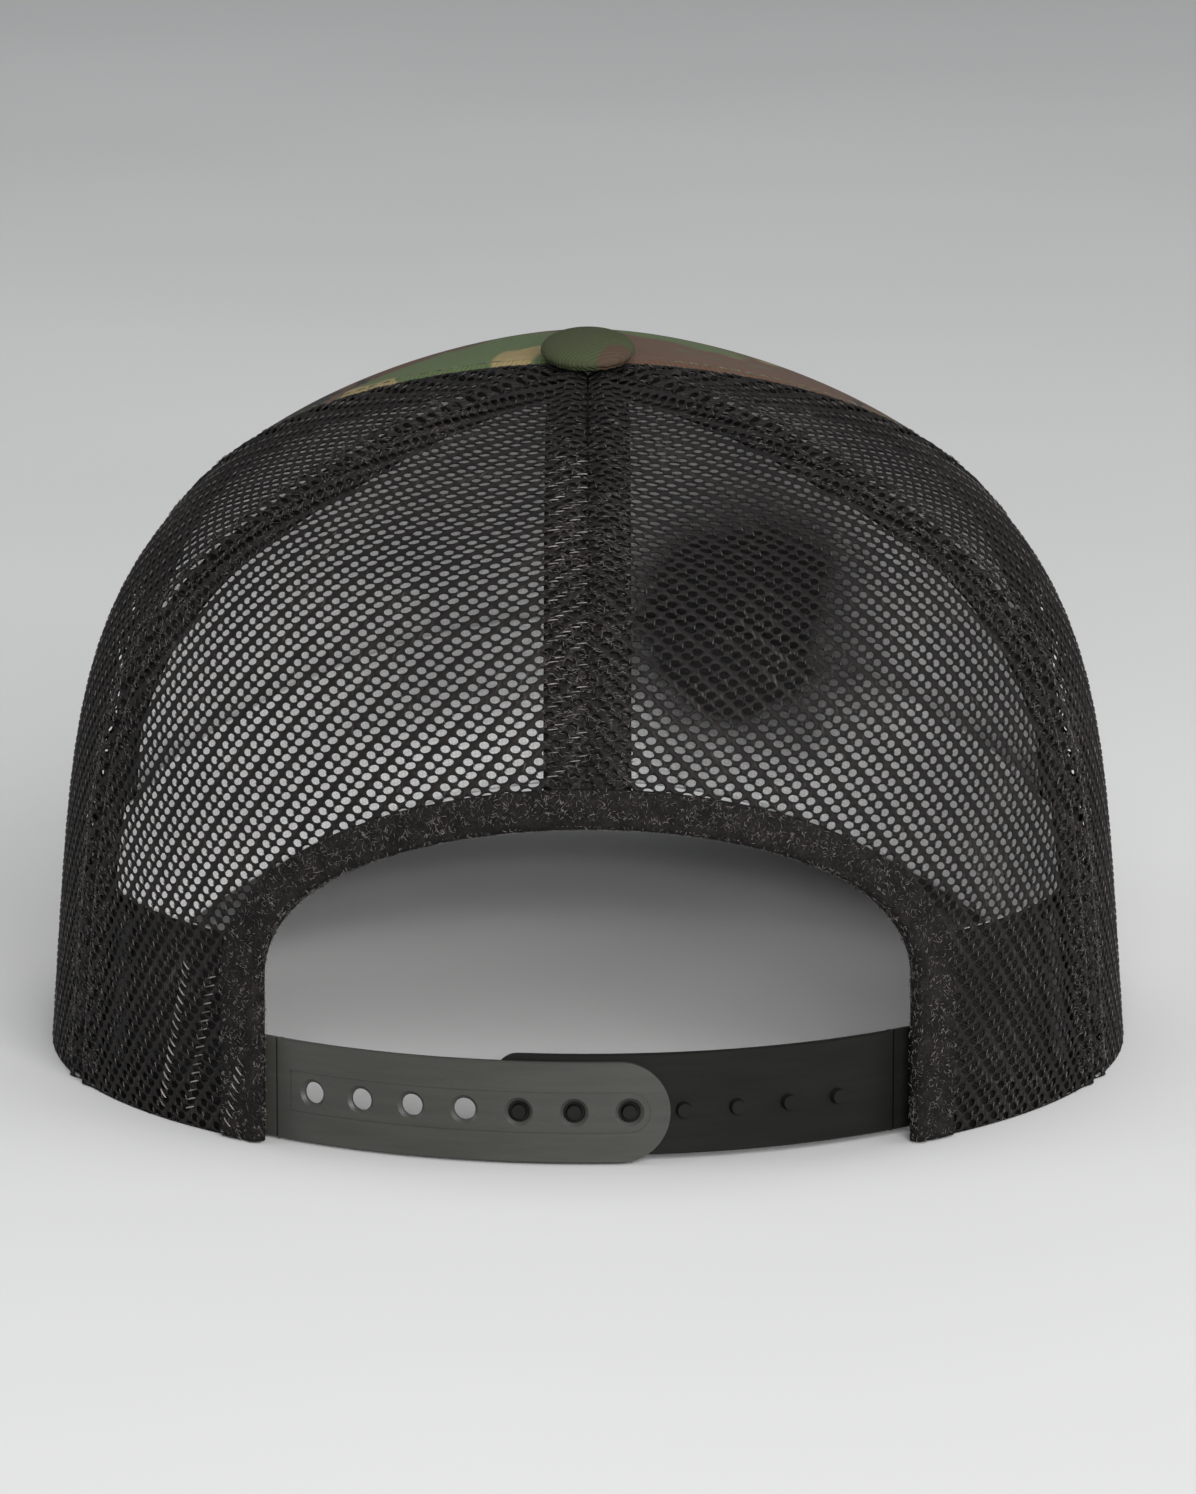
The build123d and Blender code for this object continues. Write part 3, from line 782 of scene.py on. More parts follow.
def black_yarn(name, base, tip, glint):
    """Matt black filament yarn with paler streaks, partly broken filaments and partly painted highlight, and
    a few bright painted glints.
    """
    material, tree = shader(name, 0.62, Specular_IOR_Level=0.12)
    streak = noise(tree, cloth_space(tree, (2600, 500, 1), -WALE_ANGLE), 1.0)
    patch = noise(tree, object_space(tree), 60, 2)
    value = weighted(tree, (streak, 0.75), (patch, 0.25))
    color = ramp(tree, value, (0.36, base), (0.58, tip), (0.70, glint))
    return finish(material, color, streak, 0.12 * MM, 0.8)


def camouflage(name):
    """Generic woodland camouflage printed on twill, in four colours with slightly soft edges."""
    material, tree = shader(name, 0.82, Specular_IOR_Level=0.2, Sheen_Weight=0.03, Sheen_Roughness=0.45)
    green, brown = (0.052, 0.075, 0.028), (0.062, 0.033, 0.020)
    khaki, black = (0.175, 0.135, 0.060), (0.010, 0.010, 0.009)
    color = green
    for printed, stretch, move, scale, roughness, distortion, edge, softness in (
            (brown, (-0.8, 1.15, 1.25), (0, 0, 0), 26, 0.5, 0.9, 0.485, 0.015),
            (khaki, (-1.1, 0.8, 1.3), (0.31, 0.12, 0.44), 32, 0.5, 1.1, 0.575, 0.015),
            (black, (-0.9, 1.2, 0.8), (0.73, 0.55, 0.2), 38, 0.55, 1.3, 0.60, 0.012)):
        patches = noise(tree, object_space(tree, stretch, move), scale, 3, roughness, distortion)
        color = mix(tree, ramp(tree, patches, (edge, NONE), (edge + softness, ALL)), color, printed)
    weave = twill_height(tree)
    faded = noise(tree, cloth_space(tree), 900)
    color = twill_shade(tree, color, weave)
    color = shade(tree, 0.25, color, faded, (0.3, grey(0.6)), (0.7, (1.25, 1.25, 1.2)))
    return finish(material, color, weave, 0.12 * MM, 0.9)


def button_twill(name, patch_middle, patch_size):
    """The same cloth on the button: green, with one brown patch."""
    material, tree = shader(name, 0.82, Specular_IOR_Level=0.15)
    wavy = noise(tree, object_space(tree), 320)
    edge = weighted(tree, (ball(tree, patch_middle, grey(patch_size)), 1.0), (wavy, 0.3))
    weave = twill_height(tree)
    green, brown = (0.034, 0.042, 0.019), (0.046, 0.030, 0.019)
    color = mix(tree, ramp(tree, edge, (0.34, NONE), (0.42, ALL)), green, brown)
    return finish(material, twill_shade(tree, color, weave), weave, 0.12 * MM, 0.9)


def twill(name, color, dark):
    """Plain twill of one colour."""
    material, tree = shader(name, 0.85, Specular_IOR_Level=0.15)
    weave = twill_height(tree)
    value = weighted(tree, (weave, 0.5), (noise(tree, object_space(tree), 90, 4), 0.4))
    return finish(material, ramp(tree, value, (0.25, dark), (0.8, color)), weave, 0.1 * MM, 0.9)


def shaded(tree, color, cloudy):
    """Paints shade on a lining: a little darker towards the wearer's right, and a soft painted shadow round
    one patch there.
    """
    side = remap(tree, along_axis(tree, object_space(tree), "X"), SHADE_FROM, SHADE_TO, SHADE)
    color = mix(tree, 1.0, color, side, "MULTIPLY")
    shadow_share = weighted(tree, (ball(tree, SHADOW_MIDDLE, SHADOW_SIZE), 1.0), (cloudy, 0.8))
    # the near-black colour here is the painted shadow patch
    return mix(tree, ramp(tree, shadow_share, (0.55, NONE), (0.95, ALL)), color, grey(0.007))


def painted_light_buckram(name, middle, sides, bottom=None):
    """Pale stiffened lining with an open square weave, with painted shade and light: darker in its middle,
    paler to its sides and, if given a bottom colour, paler below.
    """
    material, tree = shader(name, 0.9)
    place = cloth_space(tree)
    weave = math_node(tree, "MULTIPLY", waves(tree, place, 420, 0.5), waves(tree, place, 420, 0.5, "Y"))
    across = math_node(tree, "ABSOLUTE", along_axis(tree, object_space(tree), "X"))
    color = ramp(tree, remap(tree, across, LIT_SIDES_FROM, LIT_SIDES_TO), (0.0, grey(middle)), (1.0, grey(sides)))
    # painted light: the lining is paler towards its bottom edge
    if bottom:
        rise = remap(tree, along_axis(tree, place, "Y"), 0.3 * BAND_WIDTH, 0.6 * BAND_WIDTH)
        color = mix(tree, rise, grey(bottom), color)
    color = shade(tree, 1.0, color, weave, (0.0, grey(0.84)), (0.6, ALL))
    cloudy = noise(tree, object_space(tree), 28)
    color = shade(tree, 0.35, color, cloudy, (0.3, grey(0.75)), (0.7, ALL))
    return finish(material, shaded(tree, color, cloudy), weave, 0.15 * MM, 0.6)


def fuzzy_tape(name, base, tip):
    """Folded mesh tape, a mat of short tangled fibres."""
    material, tree = shader(name, 0.8, Specular_IOR_Level=0.12)
    tangle = noise(tree, object_space(tree), 900, 5, 0.7, 2.0)
    lumps = noise(tree, object_space(tree), 260)
    value = weighted(tree, (tangle, 0.7), (lumps, 0.3))
    return finish(material, ramp(tree, value, (0.45, base), (0.68, tip)), value, 0.5 * MM, 0.9)


def satin_plastic(name, color, dark, gloss):
    """Moulded strap plastic: fine satin grain, flow streaks and small scratches."""
    material, tree = shader(name, 0.45, Specular_IOR_Level=gloss)
    grain = noise(tree, object_space(tree), 2600, 2)
    streak = noise(tree, object_space(tree, (1, 1, 9)), 55, 4)
    scratch = noise(tree, object_space(tree, (60, 60, 900)), 1.0, 4)
    value = weighted(tree, (streak, 0.7), (grain, 0.3))
    return finish(material, ramp(tree, value, (0.35, dark), (0.65, color)),
                  weighted(tree, (grain, 1.0), (scratch, 0.6)), 0.02 * MM, 0.5,
                  remap(tree, scratch, 0.3, 0.7, 0.38, 0.56))


def thread(name, base, tip, scale=2200):
    """Twisted thread; a smaller scale varies it from one stitch to the next instead of within each."""
    material, tree = shader(name, 0.5, Specular_IOR_Level=0.25)
    twist = noise(tree, object_space(tree), scale)
    return finish(material, ramp(tree, twist, (0.38, base), (0.66, tip)), twist, 0.05 * MM, 0.7)


def plated_metal(name):
    material, tree = shader(name, 0.34, Metallic=1.0)
    brush = noise(tree, object_space(tree, (1, 1, 14)), 420, 4)
    color = ramp(tree, brush, (0.3, (0.38, 0.38, 0.39)), (0.7, (0.62, 0.62, 0.63)))
    return finish(material, color, brush, 0.01 * MM, 0.5)


def sheet_plastic(name):
    material, tree = shader(name, 0.5)
    cloud = noise(tree, object_space(tree), 140, 4)
    color = ramp(tree, cloud, (0.3, (0.66, 0.66, 0.64)), (0.7, (0.78, 0.78, 0.76)))
    return finish(material, color, cloud, 0.03 * MM, 0.4)


def foam(name):
    material, tree = shader(name, 0.95)
    cells = noise(tree, object_space(tree), 1400, 4, 0.7)
    return finish(material, ramp(tree, cells, (0.35, grey(0.03)), (0.65, grey(0.075))), cells, 0.25 * MM, 0.8)


# The lining's painted shade and painted light change over these distances across the cap, and a painted
# shadow patch lies on the wearer's right.
SHADE_FROM, SHADE_TO = -50 * MM, 20 * MM
SHADE = 0.92
LIT_SIDES_FROM, LIT_SIDES_TO = 30 * MM, 58 * MM
SHADOW_MIDDLE = (-26.5 * MM, -90 * MM, 57.5 * MM)
SHADOW_SIZE = (37.5 * MM, 60 * MM, 42 * MM)
BAND_WIDTH = 33 * MM

mesh_yarn = black_yarn("mesh_yarn", (0.002, 0.0017, 0.0016), (0.008, 0.0067, 0.0062), (0.048, 0.043, 0.040))
seam_yarn = black_yarn("seam_yarn", (0.002, 0.0017, 0.0017), (0.007, 0.006, 0.0057), (0.03, 0.027, 0.026))
camo_cloth = camouflage("camouflage_twill")
button_low, button_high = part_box("button_cover")
button_patch = (button_low[0] + 1 * MM, button_high[1], button_low[2] + 2 * MM)
button_cloth = button_twill("button_twill", button_patch, 7 * MM)
under_cloth = twill("visor_under_twill", (0.034, 0.034, 0.033), grey(0.012))
# the front lining's darker middle is painted shade and its paler sides are painted light
lining_cloth = painted_light_buckram("painted_light_buckram", 0.66, 0.94)
tape_cloth = twill("seam_tape_twill", (0.034, 0.033, 0.032), grey(0.012))
binding_cloth = fuzzy_tape("binding_tape", (0.0025, 0.0021, 0.002), (0.015, 0.013, 0.012))
band_cloth = twill("sweatband_twill", (0.024, 0.023, 0.022), grey(0.008))
# the sweatband lining's darker top middle is painted shade, and its paler sides and bottom are painted light
band_lining = painted_light_buckram("sweatband_lining", 0.55, 0.94, 0.93)
padding_foam = foam("padding_foam")
# The hole strap and the pin strap are one plastic: the hole strap's paler, glossier copy is painted light,
# the pin strap's darker, less glossy copy is painted shade.
lit_hole_plastic = satin_plastic("hole_strap_plastic_lit", (0.032, 0.0325, 0.028), (0.025, 0.0255, 0.022), 0.26)
shaded_pin_plastic = satin_plastic("pin_strap_plastic_shaded", (0.0068, 0.0068, 0.006), (0.0048, 0.0048, 0.0043), 0.09)
board_plastic = sheet_plastic("board_plastic")
metal = plated_metal("button_plating")
# the pale tips of the strands over the narrow ribs are painted highlights on the black mesh
mesh_strand_highlight = thread("mesh_strand_highlight", (0.008, 0.007, 0.0066), (0.085, 0.077, 0.073), 520)
dark_thread = thread("dark_thread", (0.012, 0.011, 0.010), (0.05, 0.045, 0.042))
# dark fibres with pale tips: painted highlights, glints on the black binding and seam mesh
fibre_highlight = thread("fibre_highlight", (0.004, 0.0035, 0.0033), (0.12, 0.108, 0.103), 800)
# pale colour: painted highlight for the glinting knit bars
braid_highlight_thread = thread("braid_highlight_thread", (0.035, 0.032, 0.031), (0.19, 0.175, 0.168), 500)
olive_thread = thread("olive_thread", (0.03, 0.033, 0.018), (0.085, 0.085, 0.05))


# ---- crown pieces ----

def make_mesh_panels():
    for base, first, second, arch in (("back_panel", centre_back, back_seam, True),
                                      ("side_panel", back_seam, front_seam, False)):
        points, faces, uv, knitted = net(first, second, arch)
        for piece in on_both_sides(base, "black_mesh", mesh_yarn, points, faces, uv):
            line_inside(piece, mesh_strand_highlight, knitted, None)


def make_front_panels():
    """Twill panels with a soft pucker where they are stitched beside their seams."""
    rows, columns = 130, 110
    across = np.linspace(0, 1, columns)
    down = np.linspace(0, 1, rows)[:, None]
    angle_rim = front_seam(0.0) + (math.pi - front_seam(0.0)) * across
    low = rim_share(angle_rim, 0.15 * MM)
    t = low[None, :] + (TOP - low[None, :]) * (1 - (1 - down) ** 1.25)
    first = front_seam(t)
    second = centre_front(t)
    radius = ring_radius(t)
    gap = 0.15 * MM / np.maximum(radius, 1 * MM)
    angle = (first + gap) + (second - first - 2 * gap) * across[None, :]
    beside = np.minimum((angle - first) * radius, (second - angle) * radius)
    flat_uv = cloth_coordinates(surface(angle, t))
    waves_along = np.sin(flat_uv[..., 1] * 2 * math.pi / (5.2 * MM))
    pucker = 0.10 * MM * waves_along * np.exp(-(beside / (3 * MM)) ** 2)
    rolled = 0.8 * MM * np.exp(-(beside / (0.7 * MM)) ** 2)
    stitched = 0.25 * MM * np.exp(-((beside - 1.6 * MM) / (0.45 * MM)) ** 2)
    depth = rolled + stitched + pucker
    outer = surface(angle, t, depth)
    inner = surface(angle, t, np.maximum(depth + 0.5 * MM, 1.15 * MM))
    on_both_sides("front_panel", "camouflage_twill", camo_cloth, *slab(outer, inner, flat_uv))
    lining = slab(surface(angle, t, 1.4 * MM), surface(angle, t, 2.2 * MM), flat_uv)
    edges = 2 * (rows - 1) * (columns - 1)
    for piece in on_both_sides("front_lining", "stiff_lining", lining_cloth, *lining):
        line_inside(piece, tape_cloth, edges, None)


TAPE_RING = 9 * MM          # on rings smaller than this a tape narrows with the ring


def tape(seam, t, half_width, depths, columns=9, above_rim=0.4 * MM, bow=0.0):
    """Strip along a seam inside the crown, bowed outward if asked: points, faces and cloth coordinates."""
    offset = np.linspace(-half_width, half_width, columns)[None, :]
    angle = seam(t[:, None]) + offset / np.maximum(ring_radius(t[:, None]), TAPE_RING)
    t = np.maximum(t[:, None], rim_share(angle, above_rim))
    outer = surface(angle, t, depths[0] + bow * (1 - np.cos(offset / half_width * math.pi / 2)))
    return slab(outer, surface(angle, t, depths[1]))


def make_tapes():
    on_mesh = (1.45 * MM, 2.15 * MM)
    on_lining = (2.4 * MM, 3.1 * MM)
    bow = 0.12 * MM
    up_seam = np.linspace(0, 0.996, 120)
    on_both_sides("side_back_seam_tape", "mesh_seam", seam_yarn,
                  *tape(back_seam, up_seam, 5.6 * MM, on_mesh, bow=bow))
    on_both_sides("front_side_seam_tape", "seam_tape", tape_cloth,
                  *tape(front_seam, up_seam, 5.8 * MM, on_lining, above_rim=0.6 * MM, bow=bow))
    arch_top = (ARCH_SPRING + ARCH_RISE + 6.0 * MM) / CROWN_HEIGHT
    cloth_piece("centre_back_seam_tape", "mesh_seam", seam_yarn,
                *tape(centre_back, np.linspace(arch_top, 0.9985, 90), 7.4 * MM, on_mesh, columns=13))
    front_rim = rim_share(math.pi, 0.6 * MM)
    cloth_piece("centre_front_seam_tape", "seam_tape", tape_cloth,
                *tape(centre_front, np.linspace(front_rim, 0.985, 90), 5.8 * MM, on_lining))


def arch_line(margin, straight=26, curved=120):
    """Outline of the back opening grown by a margin, from the wearer's right rim over to the left."""
    half = ARCH_HALF_WIDTH + margin
    rise = ARCH_RISE + margin
    turn = np.linspace(math.pi, 0, curved)
    up = np.linspace(0.3 * MM, ARCH_SPRING, straight, endpoint=False)
    x = np.concatenate([np.full(straight, -half), half * np.cos(turn), np.full(straight, half)])
    z = np.concatenate([up, ARCH_SPRING + rise * np.sin(turn), up[::-1]])
    return x, z


def make_binding():
    """Tape folded over the edge of the back opening, lumpy, with a smoother rolled fold."""
    profile = (             # millimetres from the opening's edge, and depth below the crown's surface
        (6.4, -0.15), (6.1, -0.85), (4.8, -1.02), (3.4, -1.06), (2.2, -0.98), (1.5, -1.12), (0.8, -1.3),
        (0.25, -1.05), (-0.05, -0.3), (-0.1, 0.7), (0.1, 1.6), (0.6, 2.15), (2.0, 2.25), (4.5, 2.25),
        (6.4, 2.2), (6.4, 1.5), (3.0, 1.42), (1.3, 1.35), (1.05, 0.6), (1.3, -0.15), (3.0, -0.2))
    ring = []
    for margin, depth in profile:
        x, z = arch_line(margin * MM)
        lump = 0.0
        if depth < -0.9 and margin > 1.0:
            lump = 0.10 * MM * RANDOM.standard_normal(len(x))
        ring.append(face_point(x, z, depth * MM + lump))
    points = np.stack(ring, 1)
    rows, columns = points.shape[:2]
    quads = grid_faces(rows, columns, closed=True)
    uv = cloth_coordinates(points).reshape(-1, 2)
    ends = []
    for a in range(columns // 2 + 1):
        b, c, d = a + 1, columns - 2 - a, columns - 1 - a
        if b < c:
            ends += [[a, b, c], [a, c, d]]
        elif b == c:
            ends += [[a, b, d]]
    ends = np.array(ends)
    faces = np.concatenate([in_triangles(quads), ends[:, ::-1], ends + (rows - 1) * columns])[:, ::-1]
    cloth_piece("arch_binding", "binding_tape", binding_cloth, points.reshape(-1, 3), faces, uv)


def fibres(centres, normals, heading, spread, length, radius):
    """Loose fibres over a surface, turned about a heading that is measured from sideways to upward."""
    normals = normals / np.linalg.norm(normals, axis=1, keepdims=True)
    sideways = np.cross(normals, (0, 0, 1.0))
    sideways /= np.linalg.norm(sideways, axis=1, keepdims=True)
    upward = np.cross(sideways, normals)
    angle = heading + spread * (2 * RANDOM.random(len(centres)) - 1)
    directions = np.cos(angle)[:, None] * sideways + np.sin(angle)[:, None] * upward
    lengths = length * (0.6 + 0.8 * RANDOM.random(len(centres)))
    return stitch_mesh(centres, directions, normals, lengths, radius, sink=1.0, sides=4)


def make_binding_fibres():
    """Short fibres that stand out of the binding in all directions; their pale tips are painted highlights,
    glints on black filaments.
    """
    on_face, on_fold = 3200, 1500
    count = on_face + on_fold
    faces_out = np.arange(count) < on_face
    margin = np.where(faces_out, 0.1 + 6.1 * RANDOM.random(count), -0.12) * MM
    depth = np.where(faces_out, -1.12, -1.0 + 2.6 * RANDOM.random(count)) * MM
    x_line, z_line = arch_line(0)
    line = np.stack([x_line, z_line], -1)
    x, z = on_line(RANDOM.random(count) * distances(line)[-1], line, line).T
    away = np.stack([x / ARCH_HALF_WIDTH, np.maximum(z - ARCH_SPRING, 0) / ARCH_RISE])
    x, z = np.stack([x, z]) + away * margin
    centres = face_point(x, z, depth)
    outward = face_point(x, z, depth - 1 * MM) - centres
    into_arch = face_point(*(np.stack([x, z]) - away * MM), depth) - centres
    normals = np.where(faces_out[:, None], outward, into_arch)
    extra_piece("binding_fibres", "binding_tape", fibre_highlight,
                *fibres(centres, normals, 0, math.pi, 0.7 * MM, 0.05 * MM))


FIBRES_PER_MM = 210         # over the whole height of the crown, for each millimetre of width


def make_seam_fibres():
    """Loose fibres over the doubled mesh of the back seams, with pale tips that are painted highlights."""
    arch_top = (ARCH_SPRING + ARCH_RISE + 7 * MM) / CROWN_HEIGHT
    for name, seam, across, low, side in (
            ("left", back_seam, (-7.5, 9), 0.02, 1), ("right", back_seam, (-7.5, 9), 0.02, -1),
            ("middle", centre_back, (-7.5, 7.5), arch_top, 1)):
        first, last = across
        count = int((1 - low) * (last - first) * FIBRES_PER_MM)
        t = low + (0.97 - low) * RANDOM.random(count)
        offset = (first + (last - first) * RANDOM.random(count)) * MM
        angle = np.minimum(seam(t) + offset / ring_radius(t), front_seam(t))
        proud = seam_ridge(np.abs(offset))
        centres = surface(angle, t, 0.3 * MM - proud)
        normals = surface(angle, t, -0.7 * MM - proud) - centres
        mirror = np.array([side, 1, 1])
        extra_piece("seam_fibres_" + name, "mesh_seam", fibre_highlight,
                    *fibres(centres * mirror, normals * mirror, math.radians(10), math.radians(40),
                            0.8 * MM, 0.045 * MM))


def band_grid(depths, bottom, top, first_angle, last_angle, rows, columns):
    """Band inside the crown between two heights above the rim, as outer and inner grids."""
    angle = np.linspace(first_angle, last_angle, columns)
    low = rim_share(angle, bottom)
    high = rim_share(angle, top)
    share = np.linspace(0, 1, rows)[:, None]
    q = low[None] + (high - low)[None] * share
    angle = np.broadcast_to(angle, q.shape)
    swell = np.sin(np.clip(share, 0, 1) * math.pi) ** 0.5
    outer = crown_point(angle, q, depths[0])
    inner = crown_point(angle, q, depths[1] - 0.35 * MM * (1 - swell))
    return outer, inner


def make_sweatband():
    """The band inside the rim, dark where it faces the mesh and pale towards the head, and its padding."""
    end_x, padding_end_y, clearance = 60 * MM, 45 * MM, 0.01
    end = math.asin(end_x / HALF_WIDTH) + clearance
    outer, inner = band_grid((5.2 * MM, 6.4 * MM), 0.6 * MM, BAND_WIDTH, end, 2 * math.pi - end, 28, 260)
    band = cloth_piece("sweatband", "sweatband_cloth", band_cloth, *slab(outer, inner))
    line_inside(band, band_lining, (outer.shape[0] - 1) * (outer.shape[1] - 1), None)
    start = math.acos(padding_end_y / BACK_LENGTH) + clearance
    outer, inner = band_grid((3.4 * MM, 5.0 * MM), 1.5 * MM, 31 * MM, start, 2 * math.pi - start, 20, 220)
    padding = cloth_piece("sweatband_padding", "padding", padding_foam, *slab(outer, inner))


# ---- visor ----

def visor_edge(count):
    """Outer edge of the visor seen from above, from the wearer's left ear round to the right."""
    forward = FRONT_LENGTH + VISOR_LENGTH + VISOR_WIDEST_Y
    power = 2 / VISOR_FULLNESS
    turn = np.linspace(0, math.pi / 2, count)
    x = VISOR_HALF_WIDTH * np.cos(turn) ** power
    y = VISOR_WIDEST_Y - forward * np.sin(turn) ** power
    side_y = np.linspace(EAR_Y, VISOR_WIDEST_Y, count // 3, endpoint=False)
    share = (EAR_Y - side_y) / (EAR_Y - VISOR_WIDEST_Y)
    side_x = EAR_X + (VISOR_HALF_WIDTH - EAR_X) * share * share
    x = np.concatenate([side_x, x])
    y = np.concatenate([side_y, y])
    return np.stack([np.concatenate([x, -x[-2::-1]]), np.concatenate([y, y[-2::-1]])], -1)


def visor_height(x, y, above):
    return VISOR_FRONT_Z + VISOR_DROOP * (y + FRONT_LENGTH) - VISOR_CURVE * x * x + above


def visor_grid(above, rows, columns):
    """Grid over the visor from the crown to its edge, at a height above its underside."""
    edge = visor_edge(60)
    edge = on_line(np.linspace(0, distances(edge)[-1], columns), edge, edge)
    start_angle = math.pi - math.asin(min(edge[0, 0] / (HALF_WIDTH + 0.3 * MM), 1))
    angle = np.linspace(start_angle, 2 * math.pi - start_angle, columns)
    q = rim_share(angle, above)
    root = crown_point(angle, q, -0.35 * MM)[:, :2]
    share = np.linspace(0, 1, rows)[:, None, None]
    flat = root[None] * (1 - share) + edge[None] * share
    x, y = flat[..., 0], flat[..., 1]
    return np.stack([x, y, visor_height(x, y, above)], -1)


STITCH_SHARES = np.linspace(0.12, 0.94, 6)      # places of the visor's stitch rows from the crown to its edge


def make_visor():
    """Both covers of the visor, each with shallow grooves and a row of stitches in every groove."""
    rows, columns = 90, 200
    share = np.linspace(0, 1, rows)[:, None]
    groove_width = 0.012
    groove = sum(np.exp(-((share - at) / groove_width) ** 2) for at in STITCH_SHARES)
    under_out, under_in, top_in, top_out = (visor_grid(above, rows, columns)
                                            for above in (0.0, 0.7 * MM, 2.7 * MM, 3.4 * MM))
    under_out[..., 2] += 0.18 * MM * groove
    points, faces, uv = slab(under_in, under_out, cloth_coordinates(under_out))
    cloth_piece("visor_under_cover", "visor_under_twill", under_cloth, points, faces[:, ::-1], uv)
    top_out[..., 2] -= 0.22 * MM * groove
    top_out[..., 2] -= 0.35 * MM * np.exp(-((1 - share) / groove_width) ** 2)
    top_in[-1, :, 2] -= 1.85 * MM
    points, faces, uv = slab(top_out, top_in)
    cloth_piece("visor_top_cover", "camouflage_twill", camo_cloth, points, faces[:, ::-1], uv)
    for name, grid, side, material, slot in (
            ("visor_top_stitches", top_out, 1, olive_thread, "camouflage_twill"),
            ("visor_under_stitches", under_out, -1, dark_thread, "visor_under_twill")):
        up = np.array([0, 0, side])
        parts = []
        for at in STITCH_SHARES:
            path = grid[int(round(at * (rows - 1))), 4:-4] + up * 0.02 * MM
            parts.append(row_of_stitches(path, np.broadcast_to(up, path.shape), 3.2 * MM, 2.9 * MM, 0.2 * MM))
        extra_piece(name, slot, material, *join(parts))


# ---- seam stitching ----

def make_seam_stitches():
    """Topstitching beside the twill seams."""
    parts = []
    for side in (1, -1):
        for seam, offset, top in ((front_seam, 1.6 * MM, 0.985), (centre_front, -1.6 * MM, 0.97)):
            path, out = seam_line(seam, offset, 0.2 * MM, high=top)
            mirror = (side, 1, 1)
            parts.append(row_of_stitches(path * mirror, out * mirror, 2.6 * MM, 2.3 * MM, 0.13 * MM))
    extra_piece("front_seam_stitches", "camouflage_twill", olive_thread, *join(parts))


def make_rim_hem():
    """Narrow turned hem inside the mesh, from each end of the back opening to the front seam."""
    start = math.asin((ARCH_HALF_WIDTH + 4 * MM) / HALF_WIDTH)
    end = float(front_seam(0.0))
    parts = []
    for side in (1, -1):
        outer, inner = band_grid((1.25 * MM, 1.9 * MM), 0.1 * MM, 6.0 * MM, start, end, 5, 90)
        points, faces, _ = slab(outer, inner)
        parts.append((points * (side, 1, 1), in_triangles(faces)[:, ::side]))
    extra_piece("rim_hem", "mesh_seam", seam_yarn, *join(parts))


def make_braids():
    """Slanting threads that show on the doubled mesh: beside the centre seam and above the back corners,
    drawn pale as a painted highlight where the knit bars glint.
    """
    parts = []
    arch_top = (ARCH_SPRING + ARCH_RISE + 7.5 * MM) / CROWN_HEIGHT
    for step in range(5):
        path, out = seam_line(centre_back, (0.9 + 1.2 * step) * MM, -0.2 * MM, arch_top, 0.94)
        start = (4.3 - 0.85 * step) * MM
        parts.append(row_of_stitches(path, out, 3.9 * MM, 1.9 * MM, 0.105 * MM, math.radians(-84), start))
    columns = (((67.4, 28.0), (72.2, 2.0), 60, -0.12), ((63.0, 27.0), (67.2, 2.5), 118, -0.12),
               ((57.2, 14.0), (60.0, 1.5), 60, -1.2))
    for (x_top, z_top), (x_low, z_low), lean, depth in columns:
        x = np.linspace(x_top, x_low, 30) * MM
        z = np.linspace(z_top, z_low, 30) * MM
        path = face_point(x, z, depth * MM)
        out = face_point(x, z, (depth - 1) * MM) - path
        parts.append(row_of_stitches(path, out, 1.55 * MM, 2.1 * MM, 0.15 * MM, math.radians(lean)))
    extra_piece("seam_braid_threads", "mesh_seam", braid_highlight_thread, *join(parts))


# ---- button and straps ----

def make_button():
    """Fabric-covered button, with the small wrinkles of cloth gathered under its edge."""
    radius, rise, lift_off = 8.2 * MM, 4.2 * MM, 0.9 * MM
    rows, columns = 40, 96
    ahead, middle, behind = (lift(0.0, BUTTON_Y + step) for step in (1 * MM, 0.0, -1 * MM))
    along = (ahead - behind) / np.linalg.norm(ahead - behind)
    sideways = np.array([1.0, 0, 0])
    axis = np.cross(sideways, along)
    seat = middle + axis * lift_off
    turn = np.linspace(0, 2 * math.pi, columns, endpoint=False)[None]
    share = np.linspace(0.02, 1, rows)[:, None]
    slope = np.minimum(share * 1.12, 1.0) * math.pi / 2
    under = np.clip((share - 0.89) / 0.11, 0, 1)
    low = np.clip((share - 0.6) / 0.4, 0, 1) ** 2
    gathers = 0.10 * MM * (np.sin(turn * 23 + 2 * np.sin(turn * 3)) - 1) * low
    rings = 0.05 * MM * np.sin(share * 60) * np.clip((share - 0.55) / 0.45, 0, 1)
    reach = radius * np.sin(slope) - 0.6 * MM * under + gathers
    height = 0.9 * MM + (rise - 0.9 * MM) * np.cos(slope) ** 0.9 - 0.9 * MM * under + rings
    ring = reach[..., None] * (np.cos(turn)[..., None] * sideways + np.sin(turn)[..., None] * along)
    outer = seat + ring + height[..., None] * axis
    inner = seat + ring * 0.93 + (height[..., None] - 0.55 * MM) * axis
    size = rows * columns
    last = np.arange(columns) + (rows - 1) * columns
    after = np.roll(last, -1)
    quads = np.concatenate([grid_faces(rows, columns, closed=True),
                            grid_faces(rows, columns, size, flip=True, closed=True),
                            np.stack([last, after, after + size, last + size], -1)])
    tips = []
    for i in range(1, columns - 1):
        tips += [[0, i + 1, i], [size, size + i, size + i + 1]]
    points = np.concatenate([outer.reshape(-1, 3), inner.reshape(-1, 3)])
    uv = (points - seat) @ np.stack([sideways, along], 1)
    faces = np.concatenate([in_triangles(quads), tips])[:, ::-1]
    cloth_piece("button_cover", "button_twill", button_cloth, points, faces, uv)


